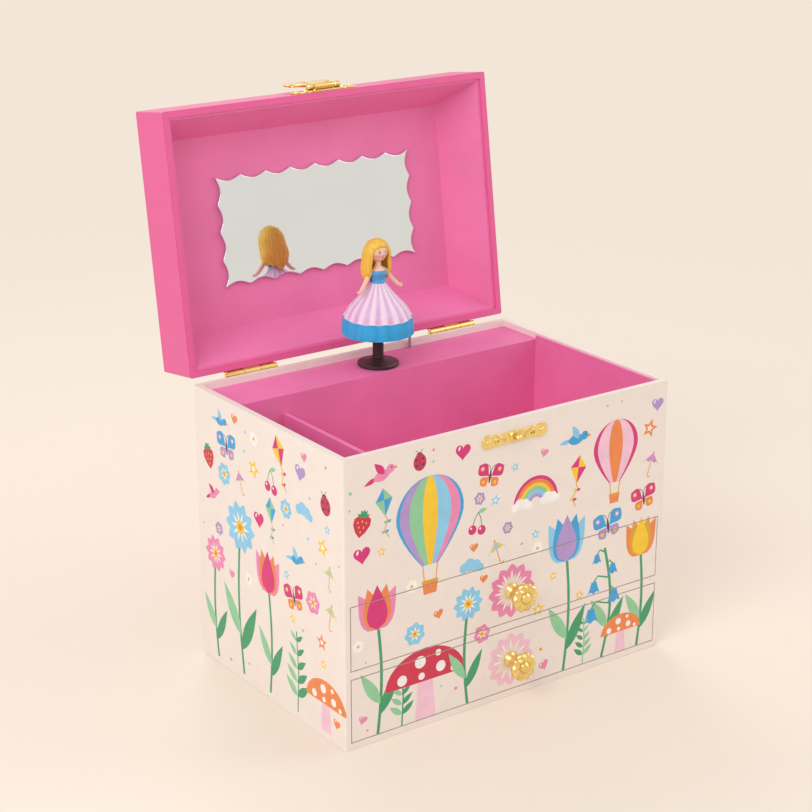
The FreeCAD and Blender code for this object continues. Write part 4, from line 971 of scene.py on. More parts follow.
def around(s, z, lift):
    """Place on the outside of the case or lid, s round from the middle of its front."""
    on_front_half = abs(s) <= BACK_MIDDLE / 2
    t = abs(s) if on_front_half else BACK_MIDDLE - abs(s)
    bend = (t - HALF_WIDTH + CORNER_RADIUS) / (2 * CORNER_RADIUS)
    if bend <= 0:
        x, y = t, HALF_DEPTH + lift
    elif bend < 1:
        x = HALF_WIDTH - CORNER_RADIUS + (CORNER_RADIUS + lift) * sin(bend * pi / 2)
        y = HALF_DEPTH - CORNER_RADIUS + (CORNER_RADIUS + lift) * cos(bend * pi / 2)
    else:
        x, y = HALF_WIDTH + lift, HALF_DEPTH + HALF_WIDTH - t
    return copysign(x, s), -y if on_front_half else y, z


def corner_folds(z0, z1):
    """Lines along which a sheet bends round the four corners, a little longer than the sheet."""
    folds = []
    for corner in (HALF_WIDTH, SIDE_END):
        for i in range(7):
            s = corner + CORNER_RADIUS * (i / 3 - 1)
            folds += [((s, z0 - 1), (s, z1 + 1)), ((-s, z0 - 1), (-s, z1 + 1))]
    return folds


def on_open_lid(x, y, z):
    """Place on the lid as it rests, from the place on it closed."""
    return LID_OPEN @ (Vector((x, y, z)) * MM) / MM


class JEWELBOX_OT_case_paper(bpy.types.Operator):
    """Cover the case in printed paper and line it"""
    bl_idname = "jewelbox.case_paper"
    bl_label = "Case papers"

    def execute(self, context):
        cream = cream_paper()
        dress_nodes(cream, "left_wall", "right_wall", "back_wall", "front_panel", "base_board",
                    "drawer_shelf")
        dress_nodes(lining(), "compartment_floor", "bay_wall", "ledge_board", "partition",
                    "compartment_lining")
        lift = context.scene.box_papers.lift / MM
        foot = 0.15
        steps = 12
        back = [(BACK_MIDDLE, foot)]
        for i in range(steps + 1):
            angle = pi * i / steps
            back.append((BACK_MIDDLE - KEYHOLE_RADIUS * sin(angle),
                         KEY_LEVEL - KEYHOLE_RADIUS * cos(angle)))
        back.append((BACK_MIDDLE, BODY_HEIGHT))
        drawer_bay = [(-WALL_INSIDE, foot), (-WALL_INSIDE, PANEL_FOOT), (WALL_INSIDE, PANEL_FOOT),
                      (WALL_INSIDE, foot)]
        outlines = [drawer_bay + back + mirrored(back[::-1]),
                    rectangle(-WALL_INSIDE, WALL_INSIDE, SHELF_FOOT, SHELF_TOP),
                    rectangle(-WALL_INSIDE, WALL_INSIDE, foot, BASE_TOP)]
        printed_sheet("case_paper", cream, outlines, corner_folds(foot, BODY_HEIGHT), case_picture().shapes,
                      lambda s, z: around(s, z, lift), "case", "printed_paper")
        return {"FINISHED"}


class JEWELBOX_OT_drawer_papers(bpy.types.Operator):
    """Cover both drawers, the picture running on from the case"""
    bl_idname = "jewelbox.drawer_papers"
    bl_label = "Drawer papers"

    def execute(self, context):
        cream = cream_paper()
        picture = front_picture().shapes
        face = -HALF_DEPTH - context.scene.box_papers.lift / MM
        for drawer in DRAWERS:
            dress_nodes(cream, drawer + "_front")
            dress_nodes(lining(), drawer + "_box", drawer + "_bottom")
            low, high = corners(drawer + "_front")
            printed_sheet(drawer + "_paper", cream, [rectangle(low.x, high.x, low.z, high.z)], [], picture,
                          lambda x, z: (x, face, z), drawer, "printed_paper")
        return {"FINISHED"}


class JEWELBOX_OT_lid_paper(bpy.types.Operator):
    """Cover the lid outside and line it inside"""
    bl_idname = "jewelbox.lid_paper"
    bl_label = "Lid papers"

    def execute(self, context):
        papers = context.scene.box_papers
        pink = paper("Lid_Paper", papers.lid)
        dress_nodes(pink, "lid_top", "lid_left_rail", "lid_right_rail", "lid_front_rail", "lid_back_rail")
        dress_nodes(lining(), "lid_panel", "lid_lining")
        lift = papers.lift / MM
        half_x, half_y = HALF_WIDTH - CORNER_RADIUS, HALF_DEPTH - CORNER_RADIUS
        printed_sheet("lid_top_paper", pink, [rectangle(-half_x, half_x, -half_y, half_y)], [],
                      lid_picture().shapes, lambda x, y: on_open_lid(x, y, LID_TOP + lift),
                      "lid", "lid_paper")
        edge = LID_TOP - CORNER_RADIUS
        printed_sheet("lid_side_paper", pink, [rectangle(-BACK_MIDDLE, BACK_MIDDLE, LID_FOOT, edge)],
                      corner_folds(LID_FOOT, edge), [], lambda s, z: on_open_lid(*around(s, z, lift)),
                      "lid", "lid_paper")
        return {"FINISHED"}


class JEWELBOX_OT_mirror(bpy.types.Operator):
    """Scalloped mirror in the lid"""
    bl_idname = "jewelbox.mirror"
    bl_label = "Mirror"

    def execute(self, context):
        colour = context.scene.box_metals.mirror
        sheet = metal("Mirror_Sheet", colour, shade(colour, 0.94), 0.015, 0.05, 60)
        half_x, half_y, thickness = 47.5, 22.5, 1.5
        bite_depth, bite_steps = 1.9, 10
        corner = [Vector(p) for p in rectangle(-half_x, half_x, -half_y, half_y)]
        outline = []
        for start, end, bites in zip(corner, corner[1:] + corner[:1], (8, 4, 8, 4)):
            inward = (end - start).normalized().orthogonal()
            for k in range(bites * bite_steps):
                bite = bite_depth * sin(pi * (k % bite_steps) / bite_steps)
                outline.append(start.lerp(end, k / (bites * bite_steps)) + inward * bite)
        shape = Shape()
        shape.take(*plate([outline], thickness, 0.35), placing=at(z=LID_CEILING - thickness))
        shape.make("mirror_sheet", [sheet], "lid", "mirror_sheet", "mirror", placing=LID_OPEN, flat=True)
        return {"FINISHED"}


def on_front(z):
    """Places a flat form, drawn in XY facing +Z, on the case front at a height."""
    return at(0, -HALF_DEPTH, z) @ turned(90, "X")


def lobed_outline():
    """Clasp plate: a bar with two round lobes at each end."""
    upper = [(6.6, 2.2), (3.0, 2.2), (0, 2.4)]
    for x, radius, start, end, steps in ((CLASP_NAIL_X, 2.8, 14, 118, 7), (8.6, 2.5, 58, 122, 14)):
        for i in range(steps + 1):
            angle = radians(start + (end - start) * i / steps)
            upper.append((x + radius * cos(angle), radius * sin(angle)))
    upper.sort(reverse=True)
    outline = upper + mirrored(upper[-2::-1])
    return outline + [(x, -y) for x, y in outline[-2:0:-1]]


def dome(radius, height):
    """Low round boss."""
    steps = 5
    angles = [pi / 2 * i / steps for i in range(steps)]
    return lathe([(radius * cos(a), height * sin(a)) for a in angles] + [(radius * 0.02, height)], 20)


def bead(shape, path, radius, height, placing=Matrix()):
    """Raised line, half sunk in a plate whose face is at a height."""
    shape.take(*tube([Vector((x, y, height)) for x, y in path], radius), placing=placing)


def scroll_pair(shape, points, radius, height, placing=Matrix()):
    """Raised scroll on a plate's face, and its mirror image."""
    path = smooth_outline(points, 6)
    bead(shape, path, radius, height, placing)
    bead(shape, mirrored(path), radius, height, placing)


def scrolled_plate(thickness, bevel, placing):
    """Lobed plate with a scroll and a boss at each end."""
    shape = Shape()
    shape.take(*plate([lobed_outline()], thickness, bevel), placing=placing)
    scroll = [(4.4, -1.0), (6.4, 0.7), (8.6, 1.0), (9.4, -0.3), (8.4, -1.0), (7.8, -0.2)]
    scroll_pair(shape, scroll, 0.42, thickness, placing)
    for s in (-1, 1):
        shape.take(*dome(1.0, 0.5), placing=placing @ at(s * CLASP_NAIL_X, 0, thickness))
    return shape


class JEWELBOX_OT_clasp(bpy.types.Operator):
    """Embossed brass clasp: plate, flap and strike"""
    bl_idname = "jewelbox.clasp"
    bl_label = "Clasp"

    def execute(self, context):
        self.strike(on_front(STRIKE_LEVEL))
        self.lid_plate(on_front(AXLE_LEVEL), -HALF_DEPTH - AXLE.y / MM)
        self.flap(STRIKE_LEVEL - AXLE_LEVEL)
        return {"FINISHED"}

    def strike(self, placing):
        """Plate on the case, with the stud that the flap closes over."""
        shape = scrolled_plate(STRIKE_THICKNESS, 0.18, placing)
        stud = [(2.5, 0.55), (2.3, 0.85), (1.6, 1.0), (1.05, 1.2), (1.0, 1.7), (1.38, 2.3), (1.4, 2.7),
                (1.1, 3.5), (0.5, 3.95), (0.05, 4.0)]
        shape.take(*lathe(stud, 28), placing=placing)
        shape.make("clasp_strike", [brass()], "case", "brass", "strike_plate", flat=True)

    def lid_plate(self, placing, axle_out):
        """Plate on the lid, with two lugs that hold the flap's axle."""
        shape = scrolled_plate(CLASP_THICKNESS, 0.2, placing)
        along_axle = at(z=axle_out) @ turned(90, "Y")
        lug = lathe([(1.05, -1.3), (1.35, -1.0), (1.35, 1.0), (1.05, 1.3)], 24)
        post = plate([rectangle(-1.2, 1.2, -0.75, 0.75)], axle_out, 0.15)
        for s in (-1, 1):
            beside = placing @ at(s * 6.4)
            shape.take(*lug, placing=beside @ along_axle)
            shape.take(*post, placing=beside)
        shape.take(*lathe([(0.7, -7.4), (0.7, 7.4)], 20), placing=placing @ along_axle)
        shape.make("clasp_lid_plate", [brass()], "lid", "brass", "clasp_plate", placing=LID_OPEN, flat=True)

    def flap(self, stud_y):
        """Flared flap, drawn hanging from its axle, with a hole for the stud."""
        face = FLAP_THICKNESS / 2
        side = smooth_outline([(4.75, 0), (4.5, -3.2), (5.0, -5.8), (7.4, -9.0), (10.0, -10.6),
                               (10.95, -12.7), (10.0, -14.7), (7.6, -15.2), (4.6, -14.9), (1.9, -16.1),
                               (0, -16.7)], 5)
        outline = side + mirrored(side[-2::-1])
        hole = dot(0, stud_y, 1.9, 24)
        shape = Shape()
        shape.take(*plate([outline[::-1], hole], FLAP_THICKNESS, 0.22), placing=at(z=-face))
        rim = [(x * 0.86, (y + 0.8) * 0.93 - 0.8) for x, y in side[6:-4]]
        bead(shape, rim, 0.26, face)
        bead(shape, mirrored(rim), 0.26, face)
        for scroll in ([(2.2, -3.4), (2.8, -5.6), (1.3, -7.4), (0.5, -6.2), (1.3, -5.6)],
                       [(3.2, -9.2), (5.4, -10.6), (6.0, -12.6), (4.7, -13.4), (4.2, -12.3)]):
            scroll_pair(shape, scroll, 0.24, face)
        for s in (-1, 1):
            shape.take(*dome(0.95, 0.45), placing=at(s * 8.1, -12.7, face))
        ring = dot(0, stud_y, 2.35, 28)
        bead(shape, ring + ring[:1], 0.28, face)
        knuckle = [(0.75, -4.75), (1.15, -4.75), (1.35, -4.5), (1.35, 4.5), (1.15, 4.75), (0.75, 4.75)]
        shape.take(*lathe(knuckle, 24, looped=True), placing=turned(90, "Y"))
        shape.make("clasp_flap_leaf", [brass()], "clasp", "brass", "clasp_flap",
                   placing=FLAP_BACK @ turned(90, "X"), flat=True)


class JEWELBOX_OT_hinges(bpy.types.Operator):
    """Brass hinges and domed nails"""
    bl_idname = "jewelbox.hinges"
    bl_label = "Hinges and nails"

    def execute(self, context):
        dress_nodes(brass(), "hinge_case_leaves", "hinge_lid_leaves", "hinge_pins")
        rise = 5.6
        self.nails("case", STRIKE_LEVEL, STRIKE_THICKNESS, BODY_HEIGHT - rise)
        self.nails("lid", AXLE_LEVEL, CLASP_THICKNESS, BODY_HEIGHT + rise, LID_OPEN)
        return {"FINISHED"}

    def nails(self, body, clasp_z, clasp_face, leaf_z, placing=None):
        """Nail heads of the case or the lid: two in its clasp plate and two in each hinge leaf."""
        head = lathe([(1.0, 0.0), (1.02, 0.12), (0.9, 0.34), (0.55, 0.52), (0.03, 0.58)], 20)
        leaf_face = HALF_DEPTH + 0.8
        shape = Shape()
        for s in (-1, 1):
            shape.take(*head, placing=on_front(clasp_z) @ at(s * CLASP_NAIL_X, 0, clasp_face))
            for hinge_x in (-50, 50):
                shape.take(*head, placing=at(hinge_x + s * 7.5, leaf_face, leaf_z) @ turned(-90, "X"))
        shape.make(body + "_nail_heads", [brass()], body, "brass", body + "_nails", placing=placing)


class JEWELBOX_OT_knobs(bpy.types.Operator):
    """Rosette knobs and their screws"""
    bl_idname = "jewelbox.knobs"
    bl_label = "Drawer knobs"

    def execute(self, context):
        petals = context.scene.box_metals.petals
        rim = 5.95
        profile = [(3.2, 0.0), (3.25, 0.5), (2.9, 0.95), (2.2, 1.6), (1.95, 3.2), (2.2, 4.9), (3.3, 5.8),
                   (4.9, 6.5), (5.7, 7.3), (rim, 8.1), (5.7, 8.9), (5.2, 9.35), (4.6, 9.6), (3.9, 9.75),
                   (3.3, 9.6), (2.7, 9.3), (2.3, 9.2), (2.0, 9.5), (1.6, 10.05), (1.0, 10.4), (0.4, 10.5)]

        def swirled(radius, height, angle):
            """Petals on the knob's face, swept round towards its middle."""
            ripple = cos(petals * (angle + 0.13 * (rim - radius))) - 1
            on_face = max(0.0, 1 - abs(radius - 5.0) / 3.0) if height > 6.2 else 0.0
            return radius * (1 + 0.05 * on_face * ripple), height + 0.34 * on_face * ripple

        rosette = lathe(profile, 120, swirled)
        for drawer in DRAWERS:
            shape = Shape()
            shape.take(*rosette, placing=on_front(middle_level(drawer + "_front")))
            shape.make(drawer + "_rosette", [brass()], drawer, "brass", drawer + "_knob", sharp=50)
            dress_nodes(steel(), drawer + "_knob_screw")
        return {"FINISHED"}


class JEWELBOX_OT_key(bpy.types.Operator):
    """Butterfly winding key and its escutcheon"""
    bl_idname = "jewelbox.key"
    bl_label = "Winding key"

    def execute(self, context):
        foot = corners("winding_key")[0].y
        along_key = turned(-90, "X")
        hub, thickness = 6.5, 1.6
        hub_profile = [(1.56, hub - 0.95), (1.56, 0), (2.7, 0), (3.0, 0.3), (3.0, 1.2), (2.6, 1.6),
                       (2.6, hub - 1.2), (2.9, hub - 0.5), (2.5, hub), (1.2, hub + 0.3),
                       (0.04, hub + 0.35)]
        wing = smooth_outline([(0, 1.2), (2.4, 2.6), (5.0, 4.9), (8.6, 5.2), (11.6, 2.9), (12.4, -0.2),
                               (11.3, -3.4), (8.2, -5.3), (4.8, -4.6), (2.2, -5.0), (0, -5.1)], 5)
        wings = wing + mirrored(wing[-2:0:-1])
        holes = [dot(s * 7.0, 0, 2.6, 28) for s in (1, -1)]
        wing_place = at(0, foot + hub + 3.0, KEY_LEVEL - thickness / 2)
        shape = Shape()
        shape.take(*lathe(hub_profile, 36), placing=at(0, foot, KEY_LEVEL) @ along_key)
        shape.take(*plate([wings[::-1]] + holes, thickness, 0.4), placing=wing_place)
        shape.make("winding_key_wings", [brass()], "key", "brass", "winding_key", flat=True)
        collar = Shape()
        section = [(KEYHOLE_RADIUS, 0), (6.5, 0), (6.5, 0.35), (6.2, 0.6), (5.4, 0.6), (5.1, 0.42),
                   (4.7, 0.42), (4.4, 0.6), (KEYHOLE_RADIUS, 0.5)]
        collar.take(*lathe(section, 48, looped=True), placing=at(0, HALF_DEPTH, KEY_LEVEL) @ along_key)
        collar.make("key_collar", [brass()], "case", "brass", "key_escutcheon", sharp=35)
        return {"FINISHED"}


class JEWELBOX_OT_movement(bpy.types.Operator):
    """Finishes of the clockwork movement"""
    bl_idname = "jewelbox.movement"
    bl_label = "Movement"

    def execute(self, context):
        zinc = context.scene.box_metals.zinc
        sheet = metal("Zinc_Sheet", zinc, shade(zinc, 0.75), 0.34, 0.52, 220)
        dress_nodes(brass(), "music_drum", "spindle_bush", "governor")
        dress_nodes(sheet, "bedplate", "bearing_bracket", "spring_barrel")
        dress_nodes(steel(), "comb", "movement_screws", "winding_arbor", "drum_spindle", "stop_pin",
                    "mainspring")
        return {"FINISHED"}


class JEWELBOX_OT_doll_stand(bpy.types.Operator):
    """Turntable, rubber stem and peg"""
    bl_idname = "jewelbox.doll_stand"
    bl_label = "Doll stand"

    def execute(self, context):
        colour = context.scene.box_doll.stand
        dark = moulding("Stand_Plastic", colour, 0.28, 0.45, 700)
        rubber = moulding("Stem_Rubber", shade(colour, 0.9), 0.5, 0.66, 1400)
        dress_nodes(dark, "doll_peg")
        low, high = levels("turntable")
        rise = high - low
        profile = [(0.05, 0), (8.3, 0), (8.5, 0.2), (8.5, 0.95), (8.25, 1.2), (7.5, 1.3), (7.2, 1.22),
                   (6.9, 1.32), (5.6, 1.62), (4.6, 1.9), (3.9, 2.15), (3.0, 2.3), (3.0, rise - 0.15),
                   (2.85, rise), (0.05, rise)]
        shape = Shape()
        shape.take(*lathe(profile, 64), placing=at(0, DOLL_AXIS, low))
        shape.make("turntable_disc", [dark], "drum", "dark_plastic", "turntable", sharp=35)
        self.stem(rubber)
        return {"FINISHED"}

    def stem(self, rubber):
        """Grooved rubber sleeve from the case to the doll's mast."""
        foot, top = [Vector((0, DOLL_AXIS, level)) for level in levels("flexible_stem")]
        rings, groove = 44, 0.16
        rise = (top.z - foot.z) / rings
        sleeve = [(2.28 - groove * (i % 4 == 0), rise * i) for i in range(rings + 1)]
        points, faces = lathe(sleeve, 28)
        stem = new_object("stem_sleeve", [foot + Vector(p) for p in points], faces, [rubber], sharp=180)
        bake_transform(stem)
        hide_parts("flexible_stem")


def face_paint(settings):
    """Skin with a simple painted face, its marks placed from the front of the head in millimetres."""
    finish = Finish("Doll_Skin")
    cloudy = finish.noise(240, 3)
    tone = finish.mottle(cloudy, settings.skin, 0.96, 1.03)
    cheek = ((2.15, 0.9, -1.25), (1.1, 2.0, 0.9), 0.9, "F09C94")
    eye = (((1.5, 0, 0.25), (0.70, 2.2, 0.62), 0.15, "4A2E22"),
           ((1.5, 0, 0.12), (0.60, 2.2, 0.52), 0.15, "F7F3EE"),
           ((1.46, 0, 0.12), (0.34, 2.2, 0.46), 0.15, "3B6EA5"),
           ((1.46, 0, 0.10), (0.17, 2.2, 0.22), 0.2, "1E1512"),
           ((1.34, 0, 0.30), (0.11, 2.2, 0.11), 0.3, "F7F3EE"))
    brow = ((1.55, 0, 1.15), (0.72, 2.2, 0.13), 0.3, "B07A2A")
    lips = (((0, 0, -1.75), (0.62, 2.0, 0.22), 0.25, "D2506A"),
            ((0, 0, -1.75), (0.56, 2.0, 0.035), 0.3, "A8344C"))
    pair = (cheek, *eye, brow)
    for side, marks in ((-1, pair), (1, pair), (1, lips)):
        for (x, y, z), radii, edge, code in marks:
            patch = finish.spot((side * x, FACE_FRONT + y, HEAD + z), radii, edge)
            tone = finish.mix(patch, tone, linear(code))
    return finish.wire(tone, finish.spread(cloudy, 0.36, 0.46), cloudy, 0.00001)


def pleated_paint(settings):
    """Gown paint, with painted shade deeper in each pleat hollow round the doll's axis."""
    finish = Finish("Gown_Pleats")
    local = finish.add("ShaderNodeMapping", {"Vector": finish.place, "Location": (0, -DOLL_AXIS * MM, 0)})
    round_axis = finish.add("ShaderNodeTexGradient", {"Vector": local.outputs["Vector"]},
                            gradient_type="RADIAL")
    turn = tau * settings.pleats
    angle = finish.add("ShaderNodeMath", {0: round_axis.outputs["Fac"], 1: turn, 2: -turn / 2},
                       operation="MULTIPLY_ADD")
    ripple = finish.add("ShaderNodeMath", {0: angle.outputs[0]}, operation="COSINE")
    cloudy = finish.noise(300, 3)
    # Painted shade: the pleat hollows take the darker colour, and the crests take the pale gown colour.
    tone = finish.mix(finish.spread(ripple.outputs[0], 1, 0, -0.8, 0.7), settings.gown, settings.panel)
    tone = finish.mix(finish.spread(cloudy, 0, 0.35), tone, shade(settings.gown, 1.04))
    return finish.wire(tone, finish.spread(cloudy, 0.42, 0.58), cloudy, 0.00002)


def hair_paint(settings):
    """Painted hair with fine combed strands."""
    finish = Finish("Doll_Hair")
    strand = finish.noise(1500, 3, (1.0, 1.0, 0.12))
    tone = finish.mottle(strand, settings.hair, 0.84, 1.1)
    tone = finish.mix(finish.spread(finish.noise(260, 2), 0, 0.25), tone, linear("E6A338"))
    return finish.wire(tone, finish.spread(strand, 0.3, 0.48), strand, 0.00006)


class JEWELBOX_OT_doll(bpy.types.Operator):
    """Doll in a pleated gown"""
    bl_idname = "jewelbox.doll"
    bl_label = "Doll"

    def execute(self, context):
        settings = context.scene.box_doll
        skin = face_paint(settings)
        self.gown(settings)
        self.bodice(settings, skin)
        self.head_and_neck(skin)
        self.arms(skin)
        self.hair(settings)
        return {"FINISHED"}

    def gown(self, settings):
        """Bell skirt in pleats, with a scalloped blue band at the hem."""
        pleats = settings.pleats
        band_top = 6.6
        inside = [(1.6, 15.06), (1.6, 7.06), (3.75, 7.06), (3.75, 11.0), (5.2, 10.9), (8.2, 9.0),
                  (11.6, 5.0), (13.4, 0.9), (14.0, 0.05), (14.7, 0.0)]
        hem = smooth_outline([(15.05, 0.15), (15.1, 0.6), (14.9, 3.4), (14.35, band_top)], 4)
        skirt = smooth_outline([(14.05, band_top), (12.3, 10), (9.7, 13), (6.9, 16), (4.4, 19), (3.2, 20.6),
                                (3.0, 21.0)], 5)

        def pleated(radius, height, angle):
            """Pleats that fade towards the waist, and a scalloped top edge on the band."""
            if (radius, height) in inside:
                return radius, height
            ripple = cos(pleats * angle)
            slow = 0.5 - 0.5 * cos(5 * angle + 0.7)
            fade = min(1.0, max(0.0, (20.5 - height) / 15))
            scallop = 0.3 * ripple * exp(-((height - band_top) / 1.2) ** 2)
            return radius - (0.45 * (1 - ripple) + 0.35 * slow) * fade, height + scallop

        steps = pleats * 8
        points, faces = lathe(inside + hem + skirt, steps, pleated)
        banded = range(len(inside) - 1, len(inside) + len(hem) - 1)
        indices = [int(k // steps in banded) for k in range(len(faces))]
        shape = Shape()
        shape.take(points, faces, indices, at(0, DOLL_AXIS, HEM))
        shape.make("gown_skirt", [pleated_paint(settings), hem_paint()], "doll", "gown_paint", "doll_gown",
                   sharp=60)

    def bodice(self, settings, skin):
        """Fitted bodice with a sash and bow; the shoulders above its neckline are bare."""
        height = SHOULDER - WAIST
        neckline = 4.9
        profile = [(3.05, 0.0), (3.15, 0.35), (2.95, 0.75), (3.05, 1.5), (3.35, 2.6), (3.6, 3.6),
                   (3.55, 4.5), (3.3, 5.2), (2.6, 6.0), (1.75, 6.6), (1.42, height), (1.38, height + 0.6)]

        def fitted(radius, level, angle):
            """Fuller at the bust and a little flatter from front to back."""
            bust = 0.30 * max(0.0, -sin(angle)) * exp(-((level - 4.0) / 1.1) ** 2)
            flatter = 1 - 0.16 * abs(sin(angle)) * min(1.0, level / 5)
            return radius * flatter + bust, level

        points, faces = lathe(profile, 40, fitted)
        indices = [int(sum(points[i][2] for i in face) / len(face) >= neckline) for face in faces]
        raised = at(0, DOLL_AXIS, WAIST)
        shape = Shape()
        shape.take(points, faces, indices, raised)
        waistline = oval(0, 0, 3.02, 2.9, 40)
        sash = [Vector((x, y, 0.45)) for x, y in waistline + waistline[:1]]
        shape.take(*tube(sash, 0.34, flat=1.2), 2, raised)
        for s in (-1, 1):
            bow = smooth_path([(0, 3.0, 0.5), (s * 1.2, 3.5, 1.3), (s * 2.0, 3.5, 0.6), (s * 1.0, 3.3, 0.2),
                               (0, 3.0, 0.4)], 5)
            shape.take(*tube(bow, 0.28), 2, raised)
        blue = moulding("Bodice_Blue", settings.bodice, 0.34, 0.5)
        shape.make("bodice_top", [blue, skin, hem_paint()], "doll", "bodice_paint", "doll_bodice", sharp=50)

    def head_and_neck(self, skin):
        """Rounded head with a soft chin and a small nose, on a slim neck."""
        rows, steps = 26, 40
        rings = []
        for r in range(rows + 1):
            polar = pi * (0.02 + 0.96 * r / rows)
            level = -cos(polar)
            width = 4.0 * sin(polar) * (1 - 0.13 * max(0.0, -level) ** 1.5)
            z = level * 4.3
            ring = []
            for angle in turns(steps):
                front = max(0.0, -sin(angle))
                nose = 0.34 * front ** 10 * exp(-((z + 0.62) / 0.42) ** 2)
                chin = 0.18 * front ** 4 * exp(-((z + 3.0) / 0.8) ** 2)
                ring.append((width * cos(angle), width * sin(angle) * 0.98 - nose - chin, z))
            rings.append(ring)
        shape = Shape()
        shape.take(*loft(rings), placing=HEAD_PLACE)
        neck = [(1.42, SHOULDER - 0.2), (1.3, SHOULDER + 0.8), (1.3, HEAD - 3.0)]
        shape.take(*lathe(neck, 24), placing=at(0, DOLL_AXIS))
        shape.make("doll_face", [skin], "doll", "skin_paint", "doll_head", sharp=60)

    def arms(self, skin):
        """Slim arms held out, each with a small hand and thumb."""
        raised = at(0, DOLL_AXIS, WAIST)
        shape = Shape()
        for s in (-1, 1):
            path = smooth_path([(s * 2.5, 0.1, 5.0), (s * 4.2, -0.1, 3.7), (s * 6.3, -0.5, 0.8),
                                (s * 8.6, -1.2, -1.6), (s * 9.8, -1.5, -2.5), (s * 10.9, -1.7, -2.9)], 6)
            radii = []
            for k in range(len(path)):
                t = k / (len(path) - 1)
                hand = 0.18 * exp(-((t - 0.9) / 0.06) ** 2)
                tip = 1.0 if t < 0.95 else max(0.25, (1 - t) / 0.05)
                radii.append((1.15 - 0.55 * t + hand) * tip)
            shape.take(*tube(path, radii, 14), placing=raised)
            thumb = smooth_path([(s * 9.6, -1.6, -2.3), (s * 10.1, -1.9, -1.8), (s * 10.5, -2.0, -1.7)], 4)
            shape.take(*tube(thumb, [0.26 - 0.012 * k for k in range(len(thumb))]), placing=raised)
        shape.make("doll_hands_and_arms", [skin], "doll", "skin_paint", "doll_arms", sharp=60)

    def hair(self, settings):
        """Long hair: a combed cap over the head and locks that fall behind and beside the face."""
        shape = Shape()
        rows, steps = 22, 72
        rings = []
        for r in range(rows + 1):
            down = r / rows
            polar = pi * (0.012 + 0.60 * down)
            ring = []
            for angle in turns(steps):
                comb = 1 + 0.022 * cos(26 * angle) * sin(polar)
                radius = 4.85 * sin(polar) * comb
                face = max(0.0, -sin(angle))
                lift = 4.3 * face ** 3 * max(0.0, down - 0.32)
                y = 0.55 + radius * sin(angle) * 0.98 + face * down ** 2
                ring.append((radius * cos(angle), y, 0.35 + 5.0 * cos(polar) + lift))
            rings.append(ring)
        shape.take(*loft(rings[::-1]), placing=HEAD_PLACE)
        rng = random.Random(11)
        for k in range(settings.locks):
            angle = radians(-28 + 236 * k / (settings.locks - 1))
            self.lock(shape, rng, cos(angle), sin(angle))
        shape.make("doll_long_hair", [hair_paint(settings)], "doll", "hair_paint", "doll_hair", sharp=50)

    def lock(self, shape, rng, out_x, out_y):
        """One wavy lock that leaves the head along out_x, out_y."""
        fall = 15.5 - 3.2 * abs(out_x) + rng.uniform(-0.8, 0.8)
        sway = rng.uniform(-0.35, 0.35)
        path = smooth_path([
            (out_x * 3.4, 0.6 + out_y * 3.4, 3.6),
            (out_x * 4.9, 0.7 + out_y * 4.6, 0.4),
            (out_x * 5.4, 1.0 + out_y * 4.5, -3.6),
            (out_x * 5.9 + sway, 1.3 + out_y * 4.2, -3.6 - fall * 0.30),
            (out_x * 5.6 - sway, 1.6 + out_y * 3.9, -3.0 - fall * 0.55),
            (out_x * 4.7 + sway, 1.9 + out_y * 3.5, -2.4 - fall * 0.75),
        ], 5)
        radii = []
        for i in range(len(path) - 1):
            along = min(1.0, 0.12 + 0.9 * i / (len(path) - 1))
            radii.append(0.35 + 1.05 * sin(pi * along) ** 0.7)
        radii.append(0.12)
        shape.take(*tube(path, radii, 10, 0.62, (out_x, out_y, 0.15)), placing=HEAD_PLACE)


def seen_directly(tree):
    """1 for rays that look at the background themselves, in a mirror or through something clear."""
    path = tree.nodes.new("ShaderNodeLightPath")
    either = path.outputs["Is Camera Ray"]
    for other in ("Is Glossy Ray", "Is Transmission Ray"):
        larger = tree.nodes.new("ShaderNodeMath")
        larger.operation = "MAXIMUM"
        tree.links.new(either, larger.inputs[0])
        tree.links.new(path.outputs[other], larger.inputs[1])
        either = larger.outputs[0]
    return either


